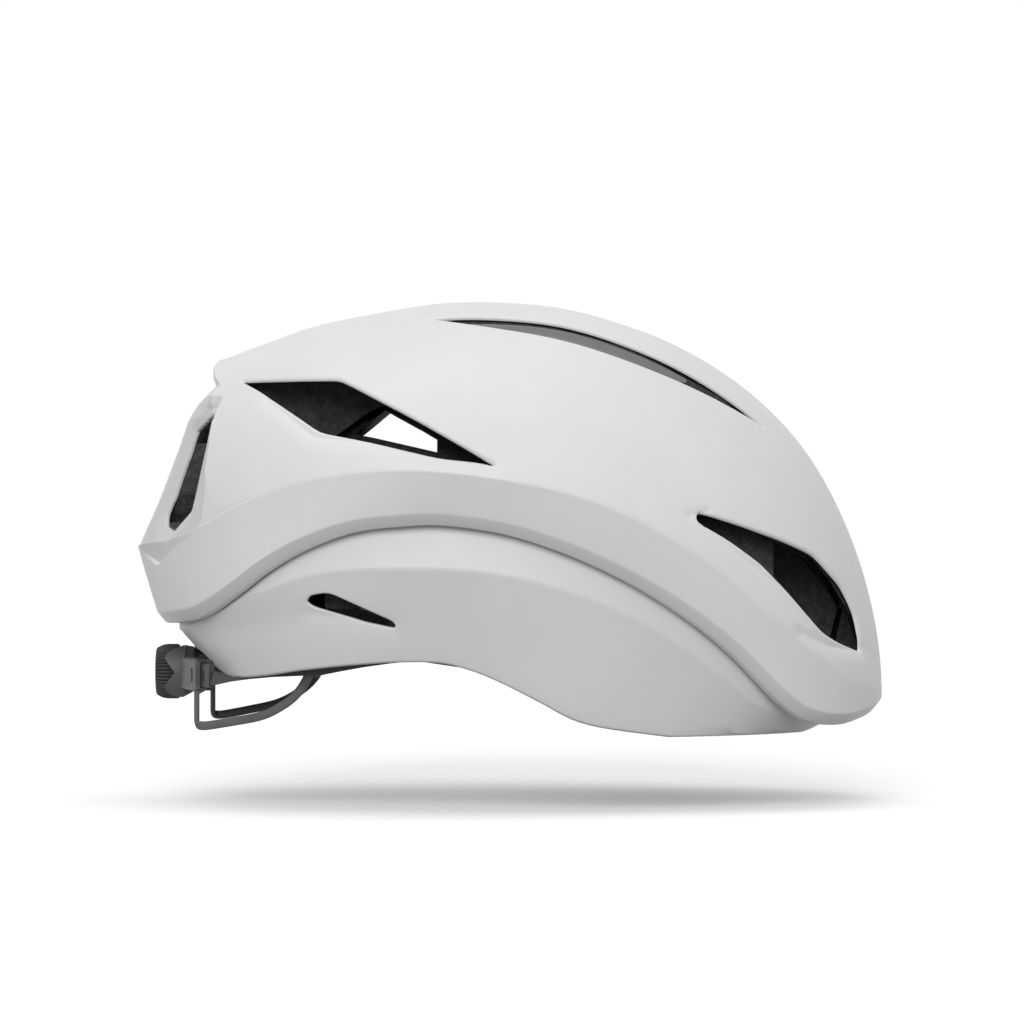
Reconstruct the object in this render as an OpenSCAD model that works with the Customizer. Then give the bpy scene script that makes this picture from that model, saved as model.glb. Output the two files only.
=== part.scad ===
// Road bike helmet in two floating halves. +X is the front, +Y the wearer's left, +Z up.
// The origin is under the middle of the helmet, level with the flat cheek edges it stands on.

/* [Upper shell] */
// length of the helmet from the tail to the nose
shell_l = 285; // [275:1:295]
// widest width, across the crease over the ears
shell_w = 206; // [200:1:212]
// height of the crown over the cheek edges
crown_h = 162.4; // [156:0.2:168]
// place of the widest section, behind the middle
wide_x = -12; // [-18:1:-8]
// wall of both outer skins
skin_t = 1.4; // [1.1:0.1:1.8]
// glue room between a skin and its foam
bond_gap = 0.4; // [0.35:0.05:0.5]
// height of the lip band round the upper shell
lip_h = 4; // [3:0.5:5]
// lean of the lip band in under itself
lip_in = 3; // [2:0.5:4]
// thickness of the lip band
lip_t = 3; // [2.5:0.5:3.5]
// how far the side is tucked in from the crease to the lip
tuck_side = 4; // [3:0.5:6]
// how far the tail is tucked in from the crease to the lip
tuck_tail = 7.5; // [6:0.5:9]
// rise of the foam over the lip's lower edge
lip_recess = 7.5; // [7:0.5:8]

/* [Ball seat between the halves] */
// how far the ball seat's half length stays inside the shell's
ball_l_in = 22.5; // [21.5:0.5:24.5]
// how far the ball seat's half width stays inside the shell's
ball_w_in = 11.5; // [11:0.5:13]
// foam and skin between the crown and the top of the ball seat
ball_top_in = 16.4; // [15.4:0.5:18.4]
// place of the ball's centre along the helmet
ball_x = 11; // [9:0.5:13]
// height of the ball's centre
ball_z = 50; // [48:0.5:52]
// running gap of the ball seat
ball_gap = 2.2; // [2:0.1:2.6]
// height of the lower half's rim inside the lip
rim_up = 3; // [2.5:0.5:3.5]

// how much higher the rim runs over the brow
brow_up = 8; // [7:0.5:9]

/* [Lower shell] */
// how far the skirt's soft crease stays inside the shell's side
skirt_w_in = 7.4; // [6.5:0.1:8.5]
// how far the skirt's lower edge stays inside the shell's side
hem_w_in = 16; // [14:0.5:18]
// how far the skirt's crease stays inside the tail
skirt_tail_in = 16; // [14.5:0.5:17.5]
// how far the skirt's crease stays inside the nose
skirt_nose_in = 20.5; // [18.5:0.5:22.5]
// how far the lower edge stays inside the tail
hem_tail_in = 21.5; // [19.5:0.5:23.5]
// how far the lower edge stays inside the nose
hem_nose_in = 26.5; // [24.5:0.5:28.5]
// height that the nape recess for the cradle reaches in the foam
nape_z = 36; // [35:0.5:40]

/* [Head space] */
// how far the head space's half length stays inside the shell's
head_l_in = 43.5; // [42.5:0.5:46.5]
// foam and skins between the head space and the shell's side
head_w_in = 25; // [24:0.5:27]
// foam and skins between the head space's top and the crown
head_top_in = 27.4; // [25.4:0.5:30.4]
// height where the head space is widest
head_z = 25; // [22:0.5:30]
// place of the head space along the helmet
head_x = 7; // [5:0.5:8]

/* [Vents] */
// length of the rear side vent
rear_vent_l = 92; // [84:1:96]
// height of the rear side vent
rear_vent_h = 32; // [28:0.5:34]
// length of the front side vent
front_vent_l = 62; // [56:1:66]
// height of the front side vent
front_vent_h = 52; // [48:0.5:54]
// length of the slot beside the ridge
slot_l = 126; // [116:1:130]
// widest width of the slot beside the ridge
slot_w = 13; // [11:0.5:15]
// distance from the middle to the slot's inner edge
slot_y = 46; // [44:0.5:48]
// height of an outer tail port
port_h = 40; // [36:0.5:42]
// length of the small vent in the skirt
skirt_vent_l = 33; // [28:0.5:36]
// thickness of the rib that crosses the rear side vent
rib_w = 3.5; // [3:0.5:6]

/* [Fit system] */
// diameter of the dial over its ribs
dial_d = 21; // [20:0.25:22]
// depth of the dial from its back to its face
dial_w = 9.3; // [8.5:0.1:10]
// height of the dial's centre
dial_z = 21; // [20.5:0.25:21.5]
// outer radius of the cradle's bend
arm_r = 138.9; // [137:0.1:140]
// how far the cradle's back stays inside the tail
cradle_in = 16.6; // [15.6:0.5:17.6]
// half angle that the cradle's arms span
arm_a = 20; // [19:0.5:21]
// inner height of the arms' channel
channel_h = 9.2; // [9.2:0.1:9.8]
// wall of the cover's rails
rail_t = 1.1; // [0.9:0.1:1.4]
// wall of the cover
cover_t = 1.8; // [1.5:0.1:2.2]
// thickness of the racks
rack_t = 2.2; // [1.8:0.1:2.6]
// wall of the cradle's base
base_t = 1.8; // [1.5:0.1:2.2]
// pitch radius of the pinion
pinion_r = 2.4; // [2.4:0.1:2.6]
// number of teeth on the pinion
pinion_n = 8; // [7:1:9]
// running gap of the sliding pieces
slide_gap = 0.3; // [0.25:0.05:0.35]
// radial running gap of the dial's shaft
shaft_gap = 0.05; // [0.03:0.01:0.08]
// width of the flat nape loops
loop_w = 3.3; // [2.8:0.1:3.8]
// thickness of the flat nape loops
loop_t = 2; // [1.6:0.1:2.4]
// thickness of the flexible bands
band_t = 1.5; // [1.2:0.1:1.8]
// height of the flexible bands
band_h = 5; // [4:0.5:5]
// width of the hanger strip
hanger_w = 15; // [12:0.5:18]
// thickness of the hanger strip
hanger_t = 1.8; // [1.5:0.1:2.2]

/* [Pads] */
// width of the brow pad
brow_pad_w = 22; // [18:1:24]
// width of the pads on the ridge and the sides
side_pad_w = 24; // [18:1:26]
// width of the temple pads
temple_pad_w = 18; // [14:1:20]
// thickness of the comfort pads
pad_t = 6.5; // [5:0.5:8]
// room between a pad and the foam, taken by its hook dot
dot_room = 1.8; // [1.8:0.05:2]
// diameter of the hook dots
dot_d = 10; // [8:1:10]

/* [Hidden] */
half_l = shell_l/2;
half_w = shell_w/2;
ball_l = half_l - ball_l_in;
ball_w = half_w - ball_w_in;
ball_h = crown_h - ball_z - ball_top_in;
skirt_w = half_w - skirt_w_in;
hem_w = half_w - hem_w_in;
skirt_tail = half_l - skirt_tail_in;
skirt_nose = half_l - skirt_nose_in;
hem_tail = half_l - hem_tail_in;
hem_nose = half_l - hem_nose_in;
head_l = half_l - head_l_in;
head_w = half_w - head_w_in;
head_top = crown_h - head_top_in;
arm_x = arm_r - half_l + cradle_in;
around = 20;
up_rows = 8;
eps = 0.01;

// plan exponents of the upper half, the lip and the skirt: nose length, nose width, tail length, tail width
up_bend = [2.3, 2.1, 2.2, 1.9];
lip_bend = [2.3, 2.1, 2.6, 2.2];
low_bend = [2.2, 2.1, 2.6, 2.2];
// cross-section exponents over the crease and the depth of the section under it
side_p = 2;
side_q = 2.2;
side_d = 20;

// side-view curves: place from the nose (1) to the tail (-1), then height as a share of the crown's
crown_law = [[1, 0.08], [0.972, 0.288], [0.89, 0.501], [0.81, 0.629], [0.729, 0.718], [0.608, 0.812],
    [0.446, 0.898], [0.284, 0.953], [0.123, 0.988], [-0.056, 1], [-0.2, 0.9957], [-0.363, 0.973],
    [-0.524, 0.943], [-0.672, 0.898], [-0.776, 0.865], [-1, 0.775]];
crease_law = [[1, 0.08], [0.9, 0.114], [0.835, 0.155], [0.752, 0.215], [0.644, 0.291], [0.538, 0.371],
    [0.434, 0.432], [0.28, 0.504], [0.127, 0.55], [-0.025, 0.577], [-0.152, 0.592], [-0.279, 0.597],
    [-0.407, 0.5905], [-0.537, 0.571], [-0.695, 0.522], [-0.79, 0.476], [-0.9, 0.443], [-1, 0.42]];
lip_law = [[1, 0.0776], [0.939, 0.051], [0.893, 0.0425], [0.836, 0.045], [0.785, 0.0567], [0.752, 0.0733],
    [0.698, 0.1133], [0.592, 0.2057], [0.487, 0.279], [0.358, 0.351], [0.23, 0.4076], [0.102, 0.452],
    [-0.025, 0.4834], [-0.178, 0.5012], [-0.279, 0.4988], [-0.407, 0.4858], [-0.537, 0.447],
    [-0.642, 0.397], [-0.723, 0.345], [-0.79, 0.3054], [-0.839, 0.285], [-0.93, 0.273], [-1, 0.273]];
skirt_law = [[1, 0.037], [0.737, 0.037], [0.646, 0.0634], [0.54, 0.138], [0.436, 0.206], [0.281, 0.2857],
    [0.128, 0.3356], [-0.025, 0.367], [-0.152, 0.378], [-0.281, 0.3805], [-0.434, 0.3756],
    [-0.539, 0.359], [-0.698, 0.306], [-0.77, 0.271], [-0.89, 0.231], [-1, 0.231]];
hem_law = [[1, 0.036], [0.814, 0.034], [0.784, 0.0105], [0.729, -0.006], [0.49, -0.006], [0.386, 0.0055],
    [0.281, 0.0185], [0.206, 0.031], [0.154, 0.0468], [0.077, 0.083], [-0.025, 0.128], [-0.102, 0.155],
    [-0.179, 0.171], [-0.281, 0.173], [-0.41, 0.1656], [-0.54, 0.1527], [-0.647, 0.138],
    [-0.727, 0.134], [-0.768, 0.149], [-0.809, 0.18], [-0.85, 0.194], [-1, 0.194]];

function key(f) = acos(min(1, max(-1, f)));
function tangent(t, i) = let(a = max(i - 1, 0), b = min(i + 1, len(t) - 1))
    (t[b][1] - t[a][1])/(key(t[b][0]) - key(t[a][0]));
function span_of(t, k, i = 0) = (i >= len(t) - 2 || k <= key(t[i + 1][0])) ? i : span_of(t, k, i + 1);
function law(t, f) = let(k = key(f), i = span_of(t, k), a = key(t[i][0]), h = key(t[i + 1][0]) - a,
    s = (k - a)/h, m0 = tangent(t, i)*h, m1 = tangent(t, i + 1)*h, s2 = s*s, s3 = s2*s)
    t[i][1]*(2*s3 - 3*s2 + 1) + m0*(s3 - 2*s2 + s) + t[i + 1][1]*(3*s2 - 2*s3) + m1*(s3 - s2);
function rise(t, x) = crown_h*law(t, x/half_l);

// a plan curve at angle u, from the nose at 0 to the tail at 180
function plan(u, nose, tail, w, e) = let(c = cos(u), s = max(0, sin(u)))
    c >= 0 ? [wide_x + nose*pow(c, 2/e[0]), w*pow(s, 2/e[1])]
           : [wide_x - tail*pow(-c, 2/e[2]), w*pow(s, 2/e[3])];
function nose_r(o) = half_l - wide_x - o;
function tail_r(o) = half_l + wide_x - o;

function crease_at(u, o) = let(a = plan(u, nose_r(0), tail_r(0), half_w, up_bend),
    b = plan(u, nose_r(o), tail_r(o), half_w - o, up_bend)) [b[0], b[1], rise(crease_law, a[0])];
function lip_plan(u, o) = plan(u, nose_r(o), tail_r(tuck_tail + o), half_w - tuck_side - o, lip_bend);
function lip_z(u) = rise(lip_law, lip_plan(u, 0)[0]);
function hem_edge_z(u) = lip_z(u) - lip_h;
function brow(u) = pow(max(0, cos(u)), 2);
function recess(u) = lip_recess + brow_up*brow(u);
function lip_top(u, o) = let(b = lip_plan(u, o)) [b[0], b[1], lip_z(u)];
function lip_low(u, o, dz) = let(b = lip_plan(u, lip_in + o)) [b[0], b[1], hem_edge_z(u) + dz];

function crease_w(x) = x >= wide_x
    ? half_w*pow(max(0, 1 - pow(min(1, (x - wide_x)/nose_r(0)), up_bend[0])), 1/up_bend[1])
    : half_w*pow(max(0, 1 - pow(min(1, (wide_x - x)/tail_r(0)), up_bend[2])), 1/up_bend[3]);
// height of the uncut upper surface over a point of the plan
function roof(x, y) = let(w = crease_w(x), top = rise(crown_law, x), low = rise(crease_law, x),
    r = side_d/(top - low + side_d), k = w < 0.05 ? (x < 0 ? 0 : 1) : min(1, abs(y)/w))
    low - side_d + (top - low + side_d)*pow(max(0, 1 - pow(k, side_q)*(1 - pow(r, side_p))), 1/side_p);
function dome_at(u, j, o) = let(c = crease_at(u, 0), d = crease_at(u, o), s = sin(90*j/up_rows),
    x = wide_x + s*(c[0] - wide_x), y = s*c[1])
    j == up_rows ? d : [wide_x + s*(d[0] - wide_x), s*d[1], roof(x, y) - o*cos(90*j/up_rows)];

// rings go round from the nose over the left to the tail and back; the half is mirrored
function mirrored(h) = concat(h, [for (k = [len(h) - 2:-1:1]) [h[k][0], -h[k][1], h[k][2]]]);
function steps() = [for (k = [0:around]) 180*k/around];
function mix(a, b, t) = a*(1 - t) + b*t;

module skin_of(rings, top, low) {
    m = len(rings[0]);
    n = len(rings);
    pts = concat([top], [for (r = rings) for (p = r) p], [low]);
    last = n*m + 1;
    polyhedron(points = pts, convexity = 8, faces = concat(
        [for (k = [0:m - 1]) [0, 1 + (k + 1)%m, 1 + k]],
        [for (i = [0:n - 2]) for (k = [0:m - 1]) let(a = 1 + i*m + k, b = 1 + i*m + (k + 1)%m, c = b + m, d = a + m)
            each (k < m/2 ? [[a, b, c], [a, c, d]] : [[a, b, d], [b, c, d]])],
        [for (k = [0:m - 1]) [last, 1 + (n - 1)*m + k, 1 + (n - 1)*m + (k + 1)%m]]));
}

// joins booleans of lofted surfaces into one mesh
module one_mesh() resize([0, 0, 0]) children();

// the inner forms end on a foot over the lip, and no row of theirs lies under it
function foot_z(u) = lip_z(u) + recess(u) - lip_h;
function over_foot(p, u, k) = [p[0], p[1], max(p[2], foot_z(u) + k)];
module upper_form(o) {
    u = steps();
    foam = o > skin_t;
    k = o == 0 ? -100 : foam ? 2*bond_gap : 0;
    rings = concat(
        [for (j = [1:up_rows - 1]) mirrored([for (a = u) dome_at(a, j, o)])],
        [mirrored([for (a = u) over_foot(crease_at(a, o), a, k + 1.6)])],
        [mirrored([for (a = u) over_foot(mix(crease_at(a, o), lip_top(a, o), 0.45) + [0, 0, -0.6], a, k + 0.8)])],
        o == 0 ? [mirrored([for (a = u) lip_top(a, 0)]), mirrored([for (a = u) lip_low(a, 0, 0)]),
            mirrored([for (a = u) let(p = lip_low(a, 0, 1)) [mix(ball_x, p[0], 0.6), p[1]*0.6, p[2]]])]
        : foam ? [mirrored([for (a = u) let(p = lip_top(a, o)) [p[0], p[1], foot_z(a) + k]]),
            mirrored([for (a = u) let(p = lip_top(a, o)) [mix(ball_x, p[0], 0.6), p[1]*0.6, foot_z(a) + k]])]
        : [mirrored([for (a = u) let(p = lip_top(a, o)) [p[0], p[1], foot_z(a)]]),
            mirrored([for (a = u) lip_low(a, lip_t, recess(a) - 0.2)]),
            mirrored([for (a = u) lip_low(a, lip_t, -12)])]);
    difference() {
        skin_of(rings, [wide_x, 0, rise(crown_law, wide_x) - o], [ball_x, 0, o == 0 ? 60 : foam ? 60 : 0]);
        tail_cut(o);
    }
}

// what the sloping tail panel and the edge of the roof over it take off the dome
panel_lean = [[0, 0], [0.3, 0.267], [0.6, 0.5], [0.79, 0.634], [0.885, 0.76], [0.96, 0.9], [1, 1]];
ledge = 0.5;
hood_z = 0.8*crown_h;
hood_x = half_l - 30.3;
hood_r = 210;
function crease_x(y) = wide_x - tail_r(0)*pow(max(0, 1 - pow(min(1, abs(y)/half_w), up_bend[3])), 1/up_bend[2]);
function panel_ring(y, o) = let(a = crease_x(y), z = rise(crease_law, a), h = -hood_x + y*y/(2*hood_r))
    concat([[-half_l - 40, y, z + ledge]],
        [for (g = panel_lean) [mix(a + ledge, h, g[1]) + o, y, mix(z + ledge, hood_z, g[0])]],
        [[h - 1.2 + o, y, hood_z + 3], [h - 1.2 + o, y, hood_z + 7], [h + 1 + o, y, hood_z + 10.5],
            [h + 3 + o, y, hood_z + 40], [-half_l - 40, y, hood_z + 40]]);
module tail_cut(o) {
    ys = [for (k = [-12:12]) k*7];
    rings = [for (y = ys) panel_ring(y, o)];
    m = len(rings[0]);
    n = len(rings);
    polyhedron(points = [for (r = rings) for (p = r) p], convexity = 6, faces = concat(
        [[for (k = [m - 1:-1:0]) k]],
        [for (i = [0:n - 2]) for (k = [0:m - 1]) let(a = i*m + k, b = i*m + (k + 1)%m, c = b + m, d = a + m)
            each [[a, b, c], [a, c, d]]],
        [[for (k = [0:m - 1]) (n - 1)*m + k]]));
}

module ball(o) {
    translate([ball_x, 0, ball_z]) scale([ball_l - o, ball_w - o, ball_h - o]) sphere(1, $fn = 44);
}

// points of the ball on the ray towards p at height z, o inside its surface
function ball_at(p, z, o) = let(a = atan2(p[1], p[0] - ball_x),
    k = sqrt(max(0.0004, 1 - pow((z - ball_z)/(ball_h - o), 2))),
    r = k/sqrt(pow(cos(a)/(ball_l - o), 2) + pow(sin(a)/(ball_w - o), 2)))
    [ball_x + r*cos(a), r*sin(a), z];

rim_in = lip_t + ball_gap;
low_rows = 6;
function rim_out(u, o) = lip_low(u, rim_in + o*(1 + 3*brow(u)), rim_up + brow_up*brow(u) - o);
function rim_root_z(u, o) = hem_edge_z(u) + rim_up + brow_up*brow(u) + 1 - 0.4*o;
function rim_root(u, o) = ball_at(lip_low(u, 0, 0), rim_root_z(u, o), ball_gap + o);
function skirt_ring(u, o) = plan(u, skirt_nose - wide_x - o, skirt_tail + wide_x - o, skirt_w - o, low_bend);
function hem_ring(u, o) = plan(u, hem_nose - wide_x - o, hem_tail + wide_x - o, hem_w - o, low_bend);
// how flat the skirt lies between its crease and its edge, which lifts the inner face there
function flatness(u) = max(0, 1 - abs(rise(skirt_law, skirt_ring(u, 0)[0]) - rise(hem_law, hem_ring(u, 0)[0]))/6);
function skirt_at(u, o) = let(b = skirt_ring(u, o)) [b[0], b[1], rise(skirt_law, skirt_ring(u, 0)[0]) + o*flatness(u)];
function hem_at(u, o) = let(b = hem_ring(u, o)) [b[0], b[1], rise(hem_law, hem_ring(u, 0)[0]) + o*flatness(u)];
function cap_row(u, j, o) = let(h = ball_h - ball_gap - o,
    e = mix(90, asin((rim_root_z(u, o) - ball_z)/h), j/low_rows))
    ball_at(lip_low(u, 0, 0), ball_z + h*sin(e), ball_gap + o);

module lower_form(o, drop = 0) {
    u = steps();
    rings = concat(
        [for (j = [1:low_rows - 1]) mirrored([for (a = u) cap_row(a, j, o)])],
        [mirrored([for (a = u) rim_root(a, o)]), mirrored([for (a = u) rim_out(a, o)])],
        [mirrored([for (a = u) mix(rim_out(a, o), skirt_at(a, o), 0.55)])],
        [mirrored([for (a = u) skirt_at(a, o)])],
        [mirrored([for (a = u) mix(skirt_at(a, o), hem_at(a, o), 0.5)])],
        [mirrored([for (a = u) hem_at(a, o)])],
        drop > 0 ? [mirrored([for (a = u) hem_at(a, o) - [0, 0, drop]])] : [],
        [mirrored([for (a = u) let(p = hem_at(a, o)) [p[0]*0.6, p[1]*0.6, p[2] - drop]])]);
    skin_of(rings, [ball_x, 0, ball_z + ball_h - ball_gap - o], [0, 0, 12 - drop]);
}

module head_space(o) {
    u = steps();
    rows = 9;
    rings = concat(
        [for (j = [1:rows]) let(e = 90*(1 - j/rows)) mirrored([for (a = u)
            [head_x + (head_l - o)*cos(e)*cos(a), (head_w - o)*cos(e)*sin(a),
                head_z + (head_top - head_z - o)*sin(e)]])],
        [mirrored([for (a = u) [head_x + (head_l - o)*cos(a), (head_w - o)*sin(a), -30]])]);
    skin_of(rings, [head_x, 0, head_top - o], [head_x, 0, -30]);
}

// vent outlines in shares of their own length and height
rear_vent = [[0, 1], [0.37, 1], [0.41, 0.95], [0.7, 0.5], [1, 0], [0.94, 0.04], [0.78, 0.09], [0.5, 0.28],
    [0.3, 0.39], [0.22, 0.55], [0.06, 0.86]];
front_vent = [[0, 0.97], [0.03, 1], [0.39, 0.84], [0.67, 0.67], [0.81, 0.48], [0.94, 0.22], [1, 0.02],
    [0.95, 0], [0.83, 0.07], [0.72, 0.19], [0.56, 0.43], [0.38, 0.66], [0.19, 0.82], [0.01, 0.93]];
skirt_vent = [[0, 0.75], [0.04, 0.92], [0.2, 1], [0.29, 0.97], [0.96, 0.2], [1, 0.06], [0.97, 0], [0.65, 0.17],
    [0.44, 0.33], [0.07, 0.6]];
skirt_vent_h = 13;
rear_vent_x = -97.5;
rear_vent_z = 99.2;
front_vent_x = 69;
front_vent_z = 30;
skirt_vent_x = -74.6;
skirt_vent_z = 39.4;
slot_x = -30;

// how near to the middle the cuts of the upper half reach
rear_cut_y = 40;
front_cut_y = 12;
slot_cut_z = 90;
port_cut_x = 82.5 - half_l;

// a vent cut in from the side, between two distances from the middle, on both sides
module side_cut(form, x, z, l, h, y0, y1, grow = 0) {
    for (s = [1, -1]) translate([x, s > 0 ? y1 : -y0, z]) rotate([90, 0, 0]) linear_extrude(y1 - y0)
        offset(delta = grow) polygon([for (p = form) [p[0]*l, p[1]*h]]);
}
module rear_vents(y0, grow) side_cut(rear_vent, rear_vent_x, rear_vent_z, rear_vent_l, rear_vent_h, y0, 130, grow);
module front_vents(y0, grow)
    side_cut(front_vent, front_vent_x, front_vent_z, front_vent_l, front_vent_h, y0, 130, grow);
module skirt_vents() side_cut(skirt_vent, skirt_vent_x, skirt_vent_z, skirt_vent_l, skirt_vent_h, 50, 130);
module slots(z0, grow) {
    n = 12;
    inner = [for (k = [0:n]) let(t = k/n) [slot_x + slot_l*t, slot_y - 8*pow(max(0, t - 0.6)/0.4, 2)]];
    outer = [for (k = [n - 1:-1:1]) let(t = k/n)
        [slot_x + slot_l*t, slot_y - 8*pow(max(0, t - 0.6)/0.4, 2) + slot_w*pow(sin(180*pow(t, 0.85)), 0.8)]];
    for (s = [1, -1]) scale([1, s, 1]) translate([0, 0, z0]) linear_extrude(200 - z0) offset(delta = grow)
        polygon(concat(inner, outer));
}
port_z = 79;
module tail_ports(x1, grow) {
    for (s = [1, -1]) scale([1, s, 1]) translate([-170, 0, 0]) rotate([90, 0, 90]) linear_extrude(x1 + 170)
        offset(delta = grow) {
            polygon([[27, port_z], [46, port_z + 2], [54, port_z + port_h], [46, port_z + 0.85*port_h]]);
            polygon([[6, port_z], [19, port_z], [34, port_z + port_h], [7, port_z + port_h]]);
        }
}

module upper_shell() color("#f2f2f0") one_mesh() difference() {
    upper_form(0);
    upper_form(skin_t);
    ball(0);
    rear_vents(rear_cut_y, 0);
    front_vents(front_cut_y, 0);
    slots(slot_cut_z, 0);
    tail_ports(port_cut_x, 0);
}

module upper_liner() color("#3c3c3e") one_mesh() difference() {
    upper_form(skin_t + bond_gap);
    ball(0);
    rear_vents(rear_cut_y, skin_t);
    front_vents(front_cut_y, skin_t);
    slots(slot_cut_z, skin_t);
    tail_ports(port_cut_x, skin_t);
}

// the lower shell is one band: down its outer face from the rim to the edge and up its inner face
function band_rows(o) = let(u = steps()) [mirrored([for (a = u) rim_root(a, o)]), mirrored([for (a = u) rim_out(a, o)]),
    mirrored([for (a = u) mix(rim_out(a, o), skirt_at(a, o), 0.55)]), mirrored([for (a = u) skirt_at(a, o)]),
    mirrored([for (a = u) mix(skirt_at(a, o), hem_at(a, o), 0.5)]), mirrored([for (a = u) hem_at(a, o)])];
module closed_band(rings) {
    m = len(rings[0]);
    n = len(rings);
    polyhedron(points = [for (r = rings) for (p = r) p], convexity = 8, faces =
        [for (i = [0:n - 1]) for (k = [0:m - 1]) let(a = i*m + k, b = i*m + (k + 1)%m, c = (b + m)%(n*m),
            d = (a + m)%(n*m)) each ((k < m/2) == (i < n/2) ? [[a, b, c], [a, c, d]] : [[a, b, d], [b, c, d]])]);
}
module lower_shell() color("#e9e9e8") one_mesh() difference() {
    inner = band_rows(skin_t);
    closed_band(concat(band_rows(0), [for (i = [len(inner) - 1:-1:0]) inner[i]]));
    skirt_vents();
    translate([0, 0, -20]) cube([400, 300, 40], center = true);
}

module lower_liner() color("#333336") one_mesh() difference() {
    lower_form(skin_t + 2*bond_gap);
    head_space(0);
    skirt_vents();
    slots(60, 0);
    tail_ports(port_cut_x, 0);
    intersection() {
        front_vents(front_cut_y, 0);
        translate([brow_cut_x, -150, 0]) cube([100, 300, 200]);
    }
    difference() {
        rear_vents(0, -foam_lip);
        vent_rib();
        translate([rear_vent_end, -150, 0]) cube([100, 300, 200]);
    }
    nape_recess();
    for (p = anchor_spots) anchor_at(p, pocket_gap);
    for (s = [1, -1]) scale([1, s, 1]) {
        band_mount_at(pocket_gap);
        strap_anchor_at(front_strap_x, pocket_gap);
        strap_anchor_at(rear_strap_x, pocket_gap);
    }
    guide_at(pocket_gap);
    translate([0, 0, -20]) cube([400, 300, 40], center = true);
}
// the lower foam stands a little inside the rear vent's outline and closes its front point
foam_lip = 1.8;
rear_vent_end = -27;
module vent_rib() {
    for (s = [1, -1]) scale([1, s, 1]) translate([-55.6, 0, 115.7]) rotate([0, -39, 0])
        translate([-40, 0, -rib_w/2]) cube([80, 130, rib_w]);
}
module nape_recess() {
    translate([0, 0, -20]) linear_extrude(nape_z + 20) intersection() {
        polygon([for (p = mirrored([for (a = steps()) hem_at(a, 5)])) [p[0], p[1]]]);
        translate([-240, -150]) square([215, 300]);
    }
}

// small pieces let into the foam
pocket_gap = 0.2;
brow_cut_x = half_l - 44.5;
anchor_d = 14;
anchor_t = 3;
anchor_spots = [[0, 47], [180, 60], [62, 30], [-62, 30]];
// brings +Z to the ball's outward normal at azimuth a and elevation e, on the lower foam's surface
function ball_spot(a, e, o) = [ball_x + (ball_l - o)*cos(e)*cos(a), (ball_w - o)*cos(e)*sin(a),
    ball_z + (ball_h - o)*sin(e)];
function ball_tilt(a, e) = [cos(e)*cos(a)/ball_l, cos(e)*sin(a)/ball_w, sin(e)/ball_h];
module point_to(n) rotate([0, acos(n[2]/norm(n)), atan2(n[1], n[0])]) children();
foam_drop = ball_gap + skin_t + 2*bond_gap;
module anchor_at(p, g) translate(ball_spot(p[0], p[1], foam_drop)) point_to(ball_tilt(p[0], p[1]))
    translate([0, 0, -anchor_t - g]) cylinder(anchor_t + g + (g > 0 ? 4 : 0), d = anchor_d + 2*g, $fn = 40);

// brings +Z to the inward normal of the head space at azimuth a and elevation e
function head_spot(a, e, o) = [head_x + (head_l - o)*cos(e)*cos(a), (head_w - o)*cos(e)*sin(a),
    head_z + (head_top - head_z - o)*sin(e)];
function head_tilt(a, e) = -[cos(e)*cos(a)/head_l, cos(e)*sin(a)/head_w, sin(e)/(head_top - head_z)];
module on_head(a, e) translate(head_spot(a, e, 0)) point_to(head_tilt(a, e)) children();

// plugs that the band's front ends are pinned to, at an azimuth and elevation of the head space
mount_spot = [63, 7];
mount_d = 12;
mount_depth = 7;
mount_pin = 1.5;
eye_gap = 0.3;
module band_mount_at(g) on_head(mount_spot[0], mount_spot[1])
    translate([0, 0, -mount_depth - g]) cylinder(mount_depth + g + (g > 0 ? 4 : 0.2), d = mount_d + 2*g, $fn = 40);
module band_mount(s) scale([1, s, 1]) difference() {
    band_mount_at(0);
    on_head(mount_spot[0], mount_spot[1]) translate([0, 0, -5]) cylinder(9, r = mount_pin, $fn = 32);
}

// moulded anchors for the chin straps in the lower edge of the foam
front_strap_x = 62;
rear_strap_x = -34;
strap_slot = 16;
function hem_w_at(x) = let(f = x > wide_x, t = abs(x - wide_x)/(f ? hem_nose - wide_x : hem_tail + wide_x))
    hem_w*pow(1 - pow(t, low_bend[f ? 0 : 2]), 1/low_bend[f ? 1 : 3]);
function head_w_at(x) = head_w*sqrt(1 - pow((x - head_x)/head_l, 2));
function foam_mid(x) = (hem_w_at(x) - skin_t - bond_gap + head_w_at(x))/2;
module at_edge(x) translate([x, foam_mid(x), x < -20 ? nape_z : rise(hem_law, x)])
    rotate([0, 0, atan2(foam_mid(x + 6) - foam_mid(x - 6), 12)]) children();
strap_cup = [strap_slot + 4, 4, 8];
module strap_anchor_at(x, g) at_edge(x) translate([-strap_cup[0]/2 - g, -strap_cup[1]/2 - g, g > 0 ? -30 : 0.6])
    cube([strap_cup[0] + 2*g, strap_cup[1] + 2*g, strap_cup[2] + g + (g > 0 ? 30 : -0.6)]);
module strap_anchor(x, s) scale([1, s, 1]) difference() {
    strap_anchor_at(x, 0);
    at_edge(x) translate([-strap_slot/2, -1.1, -1]) cube([strap_slot, 2.2, strap_cup[2] - 0.9]);
}

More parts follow.
